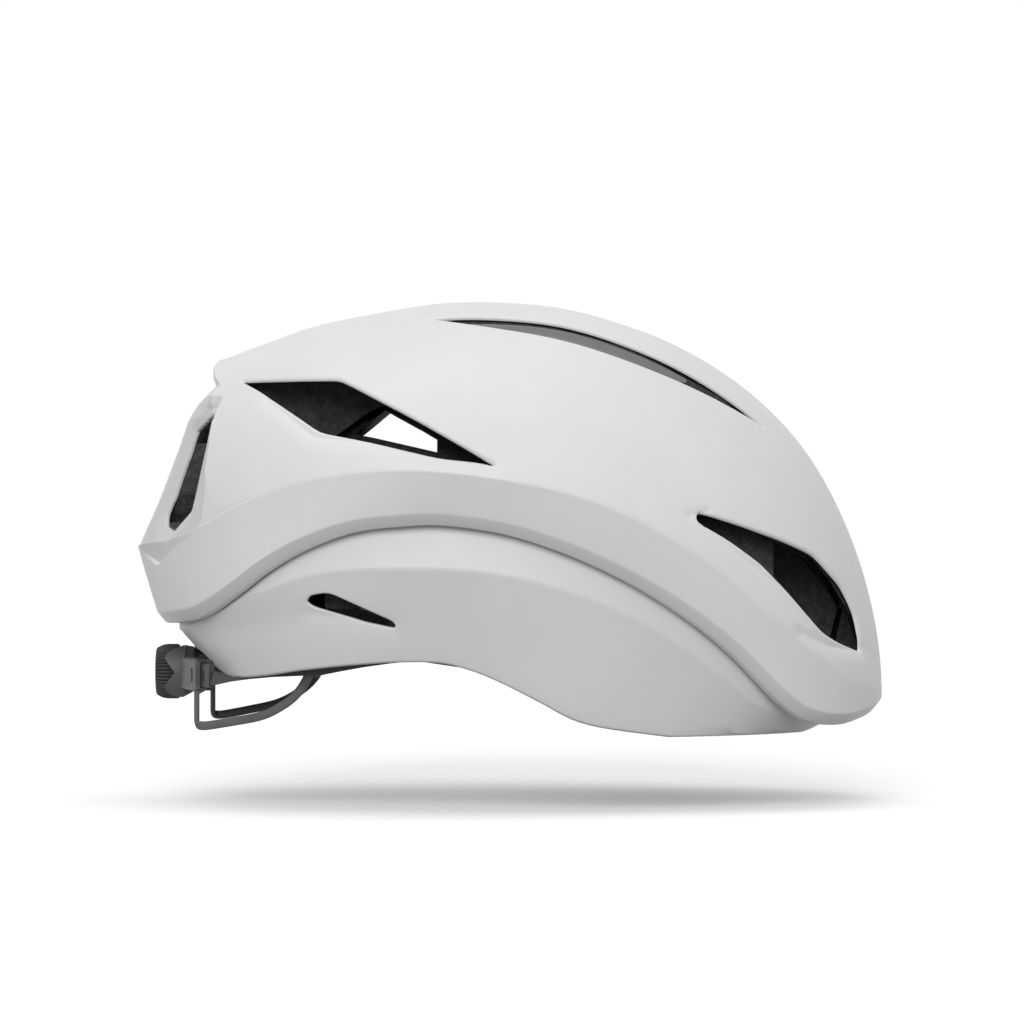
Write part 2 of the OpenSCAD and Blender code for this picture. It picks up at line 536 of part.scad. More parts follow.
// the toothed height guide in the nape of the foam, and how the nape leans
guide_w = 20;
guide_t = 3;
guide_z0 = 46;
guide_z1 = 84;
guide_pitch = 5;
function nape_x(z) = head_x - head_l*sqrt(1 - pow((z - head_z)/(head_top - head_z), 2));
guide_n = 4;
module guide_at(g) {
    zs = [for (k = [0:guide_n]) mix(guide_z0 - g, guide_z1 + g, k/guide_n)];
    translate([0, guide_w/2 + g, 0]) rotate([90, 0, 0]) linear_extrude(guide_w + 2*g)
        polygon(concat([for (z = zs) [nape_x(z) - guide_t - g, z]],
            [for (k = [guide_n:-1:0]) [nape_x(zs[k]) + (g > 0 ? 30 : 0), zs[k]]]));
}
module height_guide() color("#2b2b2d") difference() {
    guide_at(0);
    for (z = [guide_z0 + 4:guide_pitch:guide_z1 - 4]) translate([nape_x(z) - 1, -guide_w/2 + 3, z])
        cube([10, guide_w - 6, 2]);
}

module slip_anchors() color("#1d1d1f") for (p = anchor_spots) anchor_at(p, 0);

// comfort pads: cushions that follow the head space along a path of azimuth and elevation
pad_rows = 14;
pad_ring = 12;
function path_at(p, t) = let(n = len(p) - 1, i = min(n - 1, floor(t*n)), f = t*n - i) p[i]*(1 - f) + p[i + 1]*f;
function pad_points(p, w) = [for (j = [1:pad_rows]) let(t = (j - 0.5)/pad_rows, c = path_at(p, t),
    d = path_at(p, min(1, t + 0.02)) - path_at(p, max(0, t - 0.02)), q = [d[0]*cos(c[1]), d[1]],
    across = [-q[1], q[0]]/norm(q), end = pow(1 - pow(abs(2*t - 1), 4), 0.5))
    [for (k = [0:pad_ring - 1]) let(a = 360*k/pad_ring, sx = sign(cos(a))*pow(abs(cos(a)), 0.7)*w/2*end,
        sy = (sign(sin(a))*pow(abs(sin(a)), 0.7) + 1)/2, m = across*sx*0.62)
        head_spot(c[0] + m[0]/cos(c[1]), c[1] + m[1], dot_room + pad_t*(0.02 + 0.98*sy*(0.35 + 0.65*end)))]];
module pad(p, w) {
    r = pad_points(p, w);
    n = pad_rows;
    m = pad_ring;
    pts = concat([for (g = r) for (q = g) q], [mean(r[0]), mean(r[n - 1])]);
    polyhedron(points = pts, convexity = 6, faces = concat(
        [for (i = [0:n - 2]) for (k = [0:m - 1]) let(a = i*m + k, b = i*m + (k + 1)%m, c = b + m, d = a + m)
            each [[a, b, c], [a, c, d]]],
        [for (k = [0:m - 1]) [n*m, (k + 1)%m, k]],
        [for (k = [0:m - 1]) [n*m + 1, (n - 1)*m + k, (n - 1)*m + (k + 1)%m]]));
}
function mean(v) = [for (i = [0:2]) let(l = [for (p = v) p[i]]) sum(l)/len(v)];
function sum(v, i = 0) = i >= len(v) ? 0 : v[i] + sum(v, i + 1);

brow_path = [[-62, 4], [-30, 3], [0, 6], [30, 3], [62, 4]];
ridge_path = [[0, 34], [0, 60], [0, 86]];
side_path = [[32, 52], [64, 61], [115, 62]];
temple_path = [[82, 30], [96, 27], [112, 30]];
nape_path = [[150, 26], [158, 18]];
dot_spots = [for (a = [-48, -16, 16, 48]) [a, 5], [0, 44], [0, 74], for (s = [1, -1]) for (q = [[42, 55], [64, 61],
    [98, 61.7]]) [s*q[0], q[1]], for (s = [1, -1]) [s*97, 28]];
module hook_dots() color("#2a2a2c") for (p = dot_spots) on_head(p[0], p[1])
    translate([0, 0, 1]) cylinder(dot_room - 1.3, d = dot_d, $fn = 40);

// layers of the cradle, as radii round the centre of its bend
r_cover = arm_r - cover_t;
r_rack1 = r_cover - slide_gap;
r_rack0 = r_rack1 - rack_t;
r_base1 = r_rack0 - slide_gap;
r_base0 = r_base1 - base_t;
arm_h = channel_h/2 + rail_t;
dial_back = arm_x - arm_r - 0.4;
dial_face = dial_back - dial_w;
hub_r = dial_d/2 - 1.9;
shaft_r = 2.5;
collar_r = 4.4;
spline_r = 3;
boss_r = 9.8;
boss_x = 7.3;
ear_r = dial_d/2 + 1.8;
ear_h = dial_d/2 - 0.6;
tooth_h = 1;
pitch_a = 360*pinion_r/pinion_n/((r_rack0 + r_rack1)/2);
rack_in = 6;
rack_wide = 13.5;
rack_out = 24;

module bend(r0, r1, z0, z1, a0, a1) translate([arm_x, 0, dial_z + z0]) rotate([0, 0, 180 - a1])
    rotate_extrude(angle = a1 - a0, $fn = 180) translate([r0, 0]) square([r1 - r0, z1 - z0]);
module along(x, len, r, n = 48) translate([x, 0, dial_z]) rotate([0, 90, 0]) cylinder(len, r = r, $fn = n);
module ring_along(x, len, r0, r1) translate([x, 0, dial_z]) rotate([0, 90, 0]) difference() {
    cylinder(len, r = r1, $fn = 72);
    translate([0, 0, -1]) cylinder(len + 2, r = r0, $fn = 72);
}

boss_at = arm_x - r_base1 + 0.4;
module cradle_base() color("#37373a") difference() {
    union() {
        bend(r_base0, r_base1, -arm_h, arm_h, -arm_a, arm_a);
        translate([boss_at, 0, dial_z]) rotate([0, 90, 0]) cylinder(boss_x, r1 = boss_r, r2 = 5.6, $fn = 72);
        translate([boss_at + 2, -hanger_w/2, dial_z]) cube([boss_x + 2.5, hanger_w, tab_z - dial_z]);
    }
    translate([boss_at - 2, -hanger_w/2 - 5, tab_z]) translate([6, 0, 0]) cube([12, hanger_w + 10, 6]);
    along(arm_x - r_base1 - 1, 2.6 + 1, 6.2, 72);
    along(arm_x - r_base1 - 1, 1 + 5.6, shaft_r + shaft_gap);
}
module cradle_cover() color("#3d3d40") difference() {
    union() {
        bend(r_cover, arm_r, -arm_h, arm_h, -arm_a, arm_a);
        for (s = [0, 1]) bend(r_base1 + 0.05, r_cover + 0.02, s > 0 ? channel_h/2 : -arm_h,
            s > 0 ? arm_h : -channel_h/2, -arm_a, arm_a);
        along(arm_x - arm_r - 0.1, cover_t + 0.2, ear_r, 72);
        difference() {
            ring_along(arm_x - r_cover - 0.1, r_cover - r_base1 + 0.4, 8.9, boss_r);
            translate([arm_x - r_cover, -20, dial_z - arm_h + 0.05]) cube([12, 40, 2*arm_h - 0.1]);
        }
        ears();
    }
    along(arm_x - arm_r - 1, cover_t + 2, collar_r + shaft_gap, 72);
    for (s = [1, -1]) translate([-160, -30, dial_z + (s > 0 ? ear_h : -ear_h - 10)]) cube([60, 60, 10]);
    for (s = [1, -1]) translate([arm_x, 0, dial_z]) rotate([0, 0, -s*(arm_a - 2.2)])
        translate([-arm_r - 2, -1.4, -2.6]) cube([cover_t + 4, 2.8, 5.2]);
}
// four ears that reach back round the dial and leave it bare between them
module ears() difference() {
    ring_along(dial_back - dial_w + 1.9, dial_w - 1.4, dial_d/2 + 0.5, ear_r);
    for (a = [0, 90]) translate([0, 0, dial_z]) rotate([a, 0, 0]) translate([0, 20, 0]) rotate([90, 0, 0])
        linear_extrude(40) polygon([[dial_back - 1.8, 0], [dial_face - 2, 6.4], [dial_face - 2, -6.4]]);
}
module click_ring() color("#8a8a8e") translate([arm_x - r_base1 + 0.1, 0, dial_z]) rotate([0, 90, 0]) difference() {
    cylinder(2.4, r = 6, $fn = 72);
    translate([0, 0, -1]) cylinder(5, r = 4.1, $fn = 72);
    for (k = [0:15]) rotate([0, 0, k*22.5]) translate([4.1, 0, -1]) cylinder(5, r = 0.6, $fn = 24);
}
module dial_core() color("#55555a") difference() {
    union() {
        along(arm_x - r_rack0 + 0.05, slide_gap + 4.6, shaft_r);
        along(arm_x - r_rack0 - 0.3, 1, pinion_r - 0.75);
        translate([arm_x - r_base1 + 0.2, 0, dial_z]) rotate([0, 90, 0]) intersection() {
            cylinder(2.1, r = 3.9, $fn = 60);
            for (a = [0, 90]) rotate([0, 0, a]) translate([-5, -1, 0]) cube([10, 2, 2.1]);
        }
        pinion();
        along(dial_back + 0.05, cover_t + 0.3, collar_r, 72);
        along(dial_back - 0.2, rack_t + cover_t + 1, pinion_r - 0.75);
        along(dial_back - 5, 5.1, spline_r);
    }
    along(dial_back - 6, 7, 1);
}
module pinion() translate([arm_x - r_rack1, 0, dial_z]) rotate([0, 90, 0]) {
    cylinder(rack_t, r = pinion_r - 0.75, $fn = 40);
    for (k = [0:pinion_n - 1]) rotate([0, 0, 360*k/pinion_n]) translate([0, -0.25, 0])
        cube([pinion_r + 0.45, 0.5, rack_t]);
}
module rack(s) color("#4a4a4e") scale([1, s, 1]) {
    top = channel_h/2 - slide_gap;
    root = pinion_r + 0.5;
    difference() {
        union() {
            difference() {
                bend(r_rack0, r_rack1, -top, top, -rack_in, rack_out);
                bend(r_rack0 - 1, r_rack1 + 1, s < 0 ? -root : -top - 1, s < 0 ? top + 1 : root, -rack_in - 1, rack_wide);
            }
            for (k = [-3:13]) bend(r_rack0 + 0.05, r_rack1 - 0.05, s < 0 ? -root - 0.3 : root - tooth_h,
                s < 0 ? tooth_h - root : root + 0.3, (k + 0.5)*pitch_a - 0.148, (k + 0.5)*pitch_a + 0.148);
        }
        for (k = [0:2]) translate([arm_x, 0, dial_z]) rotate([0, 0, -(rack_wide + 3 + k*2.4)])
            translate([-r_rack1 - 1, -1, -2]) cube([rack_t + 2, 2, 4]);
    }
}
module dial_hub() color("#303033") difference() {
    translate([dial_back, 0, dial_z]) rotate([0, -90, 0]) rotate_extrude($fn = 72)
        polygon([[spline_r + 0.1, 0], [hub_r, 0], [hub_r, dial_w - 1.6], [hub_r - 1.5, dial_w - 0.5],
            [3.4, dial_w - 0.2], [2.6, dial_w - 1.3], [1.1, dial_w - 1.3], [1.1, 5.1], [spline_r + 0.1, 5.1]]);
}
grip_ribs = 36;
module dial_grip() color("#2b2b2d") difference() {
    translate([dial_back, 0, dial_z]) rotate([0, -90, 0]) rotate_extrude($fn = 72)
        polygon([[hub_r + 0.05, 0.3], [dial_d/2 - 0.5, 0.3], [dial_d/2, 0.9], [dial_d/2, dial_w - 2.6],
            [dial_d/2 - 0.6, dial_w - 1], [dial_d/2 - 1.4, dial_w], [hub_r + 0.05, dial_w]]);
    for (k = [0:grip_ribs - 1]) translate([dial_face - 1, 0, dial_z]) rotate([360*k/grip_ribs, 0, 0])
        translate([0, dial_d/2 - 0.55, -0.35]) cube([dial_w - 0.5, 2, 0.7]);
}
module dial_screw() color("#9a9a9c") translate([dial_face + 0.1, 0, dial_z]) rotate([0, 90, 0]) difference() {
    union() {
        cylinder(1.1, r = 2.3, $fn = 40);
        cylinder(dial_w + 0.2, r = 0.95, $fn = 32);
    }
    translate([0, 0, -0.1]) cylinder(0.8, r = 1, $fn = 6);
}

// flat strips swept along a path; across is the strip's width direction in share of +Z
function lerp_path(p, t) = let(n = len(p) - 1, i = min(n - 1, floor(t*n)), f = t*n - i,
    p0 = p[max(0, i - 1)], p1 = p[i], p2 = p[i + 1], p3 = p[min(n, i + 2)])
    0.5*((2*p1) + (p2 - p0)*f + (2*p0 - 5*p1 + 4*p2 - p3)*f*f + (3*p1 - p0 - 3*p2 + p3)*f*f*f);
module strip(p, t, w, n, up) {
    q = [for (k = [0:n]) lerp_path(p, k/n)];
    m = [for (k = [0:n]) let(d = q[min(n, k + 1)] - q[max(0, k - 1)], f = d/norm(d), g = up - (up*f)*f,
        h = g/norm(g)*w/2, j = cross(f, g)/norm(cross(f, g))*t/2)
        [q[k] + h + j, q[k] + h - j, q[k] - h - j, q[k] - h + j]];
    polyhedron(points = [for (r = m) for (v = r) v], convexity = 6, faces = concat([[3, 2, 1, 0]],
        [for (i = [0:n - 1]) for (k = [0:3]) let(a = i*4 + k, b = i*4 + (k + 1)%4)
            each [[a, b, b + 4], [a, b + 4, a + 4]]], [[n*4, n*4 + 1, n*4 + 2, n*4 + 3]]));
}
rack_mid = (r_rack0 + r_rack1)/2;
eye_mid = 0.2 + eye_gap + band_t/2;
band_path = [[arm_x - rack_mid*cos(rack_out + 0.4), rack_mid*sin(rack_out + 0.4), dial_z - 0.5],
    for (p = [[38.5, 2.4, -2.5], [45.5, -4.5, -2.3], [54.5, -9.4, -0.8], [67.5, -12.3, 2.2], [92.5, -13.9, 7]])
        [p[0] - half_l, hem_w_at(p[0] - half_l) + p[1], dial_z + p[2]],
    head_spot(106, 3.4, 2.6), head_spot(90, 4.6, 2.2), head_spot(76, 5.9, 1.9),
    head_spot(mount_spot[0], mount_spot[1], eye_mid)];
module band(s) color("#2e2e31") scale([1, s, 1]) {
    strip(band_path, band_t, band_h, 26, [0, 0, 1]);
    on_head(mount_spot[0], mount_spot[1]) {
        translate([0, 0, 0.2 + eye_gap]) cylinder(band_t, d = band_h + 4, $fn = 40);
        translate([0, 0, -4]) cylinder(4.5 + eye_gap, r = mount_pin - 0.1, $fn = 32);
    }
}

loop_y = 46;
loop_x = arm_x - sqrt(pow(arm_r - 0.9, 2) - loop_y*loop_y);
loop_path = [for (p = [[0.3, 0, 0], [13.1, 5, 2.2], [25.1, 10.5, 4.8], [33.1, 13.5, 8.9], [38.1, 15.2, 13],
    [41.1, 16, 16]]) [loop_x, loop_y, loop_w/2] + p];
module nape_loop(s) color("#3a3a3d") scale([1, s, 1]) {
    hull() {
        translate([loop_x - loop_t/2, loop_y - loop_w/2, dial_z - arm_h - 1]) cube([loop_t, loop_w, 1]);
        translate([loop_x - loop_t/2, loop_y - loop_w/2, loop_w]) cube([loop_t, loop_w, 1]);
    }
    hull() {
        translate([loop_x - loop_t/2, loop_y - loop_w/2, loop_w]) cube([loop_t, loop_w, 1]);
        translate([loop_x - 0.6, loop_y - loop_t/2, 0]) cube([1.2, loop_t, loop_w]);
    }
    strip(loop_path, loop_t, loop_w, 16, [0, 0, 1]);
}

// the hanger rests on the base's tab and rises along the nape
tab_z = 27.7;
hanger_off = 2.2 + hanger_t/2;
hanger_x = [boss_at + 5.9, boss_at + 12.9, nape_x(40) + hanger_off];
hanger_path = concat([[hanger_x[0], 0, tab_z + hanger_t/2 + 0.15], [hanger_x[1], 0, tab_z + hanger_t/2 + 0.3],
    [mix(hanger_x[1], hanger_x[2], 0.55), 0, 30.6], [hanger_x[2] - 1.3, 0, 33.8]], [for (z = [40, 49, 60, 72]) [nape_x(z) + hanger_off, 0, z]]);
module hanger() color("#2f2f32") strip(hanger_path, hanger_t, hanger_w, 16, [0, 1, 0]);

module band_mount_left() color("#3a3a3c") band_mount(1);
module band_mount_right() color("#3a3a3c") band_mount(-1);
module front_strap_anchor_left() color("#3a3a3c") strap_anchor(front_strap_x, 1);
module front_strap_anchor_right() color("#3a3a3c") strap_anchor(front_strap_x, -1);
module rear_strap_anchor_left() color("#3a3a3c") strap_anchor(rear_strap_x, 1);
module rear_strap_anchor_right() color("#3a3a3c") strap_anchor(rear_strap_x, -1);
module brow_pad() color("#4b4b50") pad(brow_path, brow_pad_w);
module ridge_pad() color("#4b4b50") pad(ridge_path, side_pad_w);
module side_pad_left() color("#4b4b50") pad(side_path, side_pad_w);
module side_pad_right() color("#4b4b50") scale([1, -1, 1]) pad(side_path, side_pad_w);
module temple_pad_left() color("#4b4b50") pad(temple_path, temple_pad_w);
module temple_pad_right() color("#4b4b50") scale([1, -1, 1]) pad(temple_path, temple_pad_w);
module rack_left() rack(1);
module rack_right() rack(-1);
module band_left() band(1);
module band_right() band(-1);
module nape_loop_left() nape_loop(1);
module nape_loop_right() nape_loop(-1);

upper_shell();
upper_liner();
lower_shell();
lower_liner();
slip_anchors();
height_guide();
band_mount_left();
band_mount_right();
front_strap_anchor_left();
front_strap_anchor_right();
rear_strap_anchor_left();
rear_strap_anchor_right();
hook_dots();
brow_pad();
ridge_pad();
side_pad_left();
side_pad_right();
temple_pad_left();
temple_pad_right();
cradle_base();
cradle_cover();
click_ring();
hanger();
nape_loop_left();
nape_loop_right();
dial_core();
dial_hub();
dial_grip();
dial_screw();
rack_left();
rack_right();
band_left();
band_right();
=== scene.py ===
"""Road bike helmet: two floating white halves, charcoal foam and a dark dial fit system.

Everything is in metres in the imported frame: +X is the front, +Z up, the photograph's side is -Y.
"""
import math

import bmesh
import bpy
import numpy as np
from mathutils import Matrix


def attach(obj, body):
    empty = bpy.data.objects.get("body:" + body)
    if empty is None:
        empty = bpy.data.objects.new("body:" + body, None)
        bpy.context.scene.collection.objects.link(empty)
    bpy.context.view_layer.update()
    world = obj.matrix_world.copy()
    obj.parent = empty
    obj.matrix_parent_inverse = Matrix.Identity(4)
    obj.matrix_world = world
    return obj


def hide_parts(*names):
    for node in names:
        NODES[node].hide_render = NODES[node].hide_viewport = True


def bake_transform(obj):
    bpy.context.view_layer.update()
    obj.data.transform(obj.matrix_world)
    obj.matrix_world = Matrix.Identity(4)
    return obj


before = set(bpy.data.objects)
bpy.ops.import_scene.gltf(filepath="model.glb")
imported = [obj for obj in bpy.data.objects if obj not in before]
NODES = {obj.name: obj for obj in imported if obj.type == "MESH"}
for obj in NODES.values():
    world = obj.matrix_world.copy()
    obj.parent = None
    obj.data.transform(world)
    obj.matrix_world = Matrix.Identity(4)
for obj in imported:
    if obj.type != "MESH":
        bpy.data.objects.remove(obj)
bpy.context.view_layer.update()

MM = 0.001
MERGE = 0.004 * MM

# ---------------------------------------------------------------- camera, floor and light

LENS, SENSOR = 160.2, 36
CAMERA_AT = (0.00077, -1.75, 0.0821)
FLOOR_Z, FLOOR_HALF, FLOOR_CELLS = -0.0285, 6.0, 24
# the floor's white to the camera, its grey to the light it throws back, its glow, and the sky's strength
FLOOR_WHITE, FLOOR_BACK, FLOOR_GLOW, SKY = 0.97, 0.28, 0.30, 0.45
scene = bpy.context.scene


def link(obj):
    scene.collection.objects.link(obj)
    return obj


def make_camera():
    data = bpy.data.cameras.new("camera")
    data.sensor_width, data.lens = SENSOR, LENS
    camera = link(bpy.data.objects.new("camera", data))
    camera.location = CAMERA_AT
    camera.rotation_euler = (math.pi / 2, 0, 0)
    scene.camera = camera


def feed(t, kind, values, **props):
    """A shader node with its properties set and its inputs fed with sockets or plain values."""
    node = t.nodes.new("ShaderNode" + kind)
    for key, value in props.items():
        setattr(node, key, value)
    for key, value in values.items():
        if isinstance(value, bpy.types.NodeSocket):
            t.links.new(value, node.inputs[key])
        else:
            node.inputs[key].default_value = value
    return node


def math_node(t, operation, *values):
    return feed(t, "Math", dict(enumerate(values)), operation=operation).outputs[0]


def pale_rays(t):
    """1 for the rays that should meet a white background: camera, gloss and transmission."""
    path = feed(t, "LightPath", {}).outputs
    mirrored = math_node(t, "MAXIMUM", path["Is Camera Ray"], path["Is Glossy Ray"])
    return math_node(t, "MAXIMUM", mirrored, path["Is Transmission Ray"])


def mix_shaders(t, fac, a, b):
    return feed(t, "MixShader", {0: fac, 1: a, 2: b}).outputs[0]


def floor_material():
    """White with a shadow to the camera, a quieter grey to the light it throws back, open from below."""
    mat = bpy.data.materials.new("floor")
    mat.use_nodes = True
    t = mat.node_tree
    t.nodes.clear()
    plain, quiet = (feed(t, "BsdfDiffuse", {"Color": (grey, grey, grey, 1)}).outputs[0]
                    for grey in (FLOOR_WHITE, FLOOR_BACK))
    glow = feed(t, "Emission", {"Strength": FLOOR_GLOW}).outputs[0]
    seen = feed(t, "AddShader", {0: plain, 1: glow}).outputs[0]
    both = mix_shaders(t, pale_rays(t), quiet, seen)
    below = feed(t, "NewGeometry", {}).outputs["Backfacing"]
    clear = feed(t, "BsdfTransparent", {}).outputs[0]
    feed(t, "OutputMaterial", {0: mix_shaders(t, below, both, clear)})
    return mat


def quads_of(k):
    """The faces between the rows of a grid of vertex numbers."""
    return np.stack([k[:-1, :-1], k[:-1, 1:], k[1:, 1:], k[1:, :-1]], -1).reshape(-1, 4)


def make_floor():
    mesh = bpy.data.meshes.new("floor")
    n = FLOOR_CELLS
    xs = np.linspace(-FLOOR_HALF, FLOOR_HALF, n + 1)
    verts = [(x, y, FLOOR_Z) for y in xs for x in xs]
    k = np.arange((n + 1) ** 2).reshape(n + 1, n + 1)
    mesh.from_pydata(verts, [], quads_of(k).tolist())
    floor = link(bpy.data.objects.new("floor", mesh))
    floor.data.materials.append(floor_material())


def make_world():
    world = bpy.data.worlds.new("studio")
    scene.world = world
    world.use_nodes = True
    t = world.node_tree
    back = t.nodes["Background"]
    back.inputs["Color"].default_value = (1, 1, 1, 1)
    t.links.new(math_node(t, "MAXIMUM", pale_rays(t), SKY), back.inputs["Strength"])


def make_sun(name, strength, place, angle):
    """A wide sun that shines from a place towards the origin."""
    data = bpy.data.lights.new(name, "SUN")
    data.energy, data.angle = strength, math.radians(angle)
    lamp = link(bpy.data.objects.new(name, data))
    lamp.location = place
    x, y, z = place
    lamp.rotation_euler = (math.atan2(math.hypot(x, y), z), 0, math.atan2(x, -y))


make_camera()
make_floor()
make_world()
make_sun("overhead", 0.42, (-0.1, -0.1, 3.0), 38)
make_sun("front", 1.42, (-0.3, -2.5, 1.25), 35)
scene.view_settings.view_transform = "Standard"

# ---------------------------------------------------------------- materials


def tree_of(name, color, rough, spec):
    """A new material with its node tree, its Principled shader and the object's coordinates."""
    mat = bpy.data.materials.new(name)
    mat.use_nodes = True
    t = mat.node_tree
    shader = t.nodes["Principled BSDF"]
    shader.inputs["Base Color"].default_value = (*color, 1)
    shader.inputs["Roughness"].default_value = rough
    shader.inputs["Specular IOR Level"].default_value = spec
    return mat, t, shader, feed(t, "TexCoord", {}).outputs["Object"]


def noise(t, coord, scale, detail):
    return feed(t, "TexNoise", {"Vector": coord, "Scale": scale, "Detail": detail, "Roughness": 0.55}).outputs["Fac"]


def cells(t, coord, scale, output="Distance", feature="F1"):
    return feed(t, "TexVoronoi", {"Vector": coord, "Scale": scale}, feature=feature).outputs[output]


def ramp(t, value, stops):
    """A colour ramp with two stops."""
    node = feed(t, "ValToRGB", {"Fac": value})
    for element, (place, color) in zip(node.color_ramp.elements, stops):
        element.position, element.color = place, (*color, 1)
    return node.outputs["Color"]


def spread(t, value, low, high, from_low=0.0, from_high=1.0):
    ends = {"From Min": from_low, "From Max": from_high, "To Min": low, "To Max": high}
    return feed(t, "MapRange", {**ends, "Value": value}).outputs["Result"]


def dress(t, shader, tone, rough, bumps):
    """Colour, roughness and stacked bumps (height, distance, strength) on the shader."""
    bumped = {}
    for height, distance, strength in bumps:
        values = {"Height": height, "Distance": distance, "Strength": strength}
        bumped = {"Normal": feed(t, "Bump", {**values, **bumped}).outputs["Normal"]}
    for key, value in {"Base Color": tone, "Roughness": rough, **bumped}.items():
        t.links.new(value, shader.inputs[key])


def blend_colors(t, fac, a, b, mode="MIX"):
    a, b = ((*v, 1) if isinstance(v, tuple) else v for v in (a, b))
    return feed(t, "Mix", {0: fac, 6: a, 7: b}, data_type="RGBA", blend_type=mode).outputs[2]


def shade(color, k):
    return tuple(min(1.0, c * k) for c in color)


def painted_shell(name, color, panel_painted_shade=None):
    """Matte white paint: cloudy tone, faint orange peel and tiny dust specks, with painted shade on the sunk tail
    panel where a tone is given.
    """
    mat, t, shader, at = tree_of(name, color, 0.42, 0.4)
    tone = ramp(t, noise(t, at, 22, 4), [(0.3, shade(color, 0.975)), (0.7, shade(color, 1.015))])
    dust = spread(t, cells(t, at, 260), 1, 0, 0.0, 0.07)
    tone = blend_colors(t, dust, tone, shade(color, 0.86))
    # painted shade: the sunk tail panel, picked by its sunk attribute, is darkened to stand in for the shade in its
    # recess
    if panel_painted_shade:
        sunk = feed(t, "Attribute", {}, attribute_name="sunk").outputs["Fac"]
        tone = blend_colors(t, sunk, tone, shade(color, panel_painted_shade))
    dress(t, shader, tone, spread(t, noise(t, at, 60, 5), 0.36, 0.5),
          [(noise(t, at, 900, 2), 0.00004, 0.35), (noise(t, at, 180, 3), 0.00008, 0.25)])
    return mat


def bead_foam(name, color):
    """Moulded bead foam: fused cells of about 2 mm, dark seams and a few pale flecks."""
    mat, t, shader, at = tree_of(name, color, 0.62, 0.3)
    shift = feed(t, "TexNoise", {"Scale": 160, "Vector": at}).outputs["Color"]
    warp = feed(t, "VectorMath", {0: shift, 1: (0.002, 0.002, 0.002), 2: at}, operation="MULTIPLY_ADD")
    where = warp.outputs["Vector"]
    seams = cells(t, where, 560, feature="DISTANCE_TO_EDGE")
    tone = ramp(t, noise(t, at, 240, 4), [(0.3, shade(color, 0.6)), (0.72, shade(color, 1.7))])
    grey = feed(t, "RGBToBW", {0: cells(t, where, 560, "Color")}).outputs[0]
    each = ramp(t, grey, [(0.2, (0.72, 0.72, 0.72)), (0.8, (1.25, 1.25, 1.25))])
    tone = blend_colors(t, 1.0, tone, each, "MULTIPLY")
    tone = blend_colors(t, spread(t, seams, 0.4, 0, 0.0, 0.14), tone, shade(color, 0.35))
    tone = blend_colors(t, spread(t, cells(t, at, 520), 0.55, 0, 0.05, 0.13), tone, shade(color, 4.2))
    dress(t, shader, tone, spread(t, noise(t, at, 300, 3), 0.5, 0.75),
          [(seams, 0.00025, 0.6), (noise(t, at, 1200, 3), 0.00008, 0.5)])
    return mat


def moulded(name, color, rough=0.5, grain=1400, depth=0.00004, spec=0.4):
    """Moulded nylon or rubber: fine spark grain, worn and dusty in a soft pattern."""
    mat, t, shader, at = tree_of(name, color, rough, spec)
    tone = ramp(t, noise(t, at, 70, 5), [(0.3, shade(color, 0.84)), (0.75, shade(color, 1.18))])
    tone = blend_colors(t, spread(t, cells(t, at, 300), 0.3, 0, 0.0, 0.09), tone, shade(color, 1.9))
    dress(t, shader, tone, spread(t, noise(t, at, 150, 4), rough - 0.08, rough + 0.1),
          [(noise(t, at, grain, 2), depth, 0.6), (noise(t, at, 260, 3), 0.00006, 0.3)])
    return mat


def machined(name, color):
    """Turned metal: rings round the dial's axis."""
    mat, t, shader, at = tree_of(name, color, 0.32, 0.5)
    shader.inputs["Metallic"].default_value = 1
    wave = feed(t, "TexWave", {"Scale": 900, "Vector": at}, wave_type="RINGS", rings_direction="X")
    rings = wave.outputs["Fac"]
    tone = ramp(t, noise(t, at, 400, 3), [(0.3, shade(color, 0.8)), (0.7, color)])
    dress(t, shader, tone, spread(t, rings, 0.24, 0.42), [(rings, 0.00001, 0.4)])
    return mat


def knit(name, color, pitch=0.0011):
    """Brushed knit over foam: crossing yarns, fuzz and a soft sheen."""
    mat, t, shader, at = tree_of(name, color, 0.9, 0.2)
    shader.inputs["Sheen Weight"].default_value = 0.35
    shader.inputs["Sheen Roughness"].default_value = 0.5
    weave = {"Scale": 1 / pitch / 3.2, "Distortion": 1.5, "Vector": at}
    waves = [feed(t, "TexWave", weave, bands_direction=axis).outputs["Fac"] for axis in ("X", "Y", "Z")]
    yarn = math_node(t, "MULTIPLY_ADD", waves[2], 0.4, math_node(t, "MAXIMUM", waves[0], waves[1]))
    tone = ramp(t, yarn, [(0.3, shade(color, 0.55)), (1.0, shade(color, 1.3))])
    tone = blend_colors(t, spread(t, noise(t, at, 90, 4), 0, 0.5), tone, shade(color, 0.8))
    dress(t, shader, tone, spread(t, noise(t, at, 700, 3), 0.8, 1.0),
          [(yarn, 0.0002, 0.7), (noise(t, at, 2500, 3), 0.0001, 0.5)])
    return mat


# the last number darkens the sunk tail panel: painted shade in the upper shell's white
WHITE_UP = painted_shell("shell_white_upper", (0.83, 0.83, 0.825), 0.84)
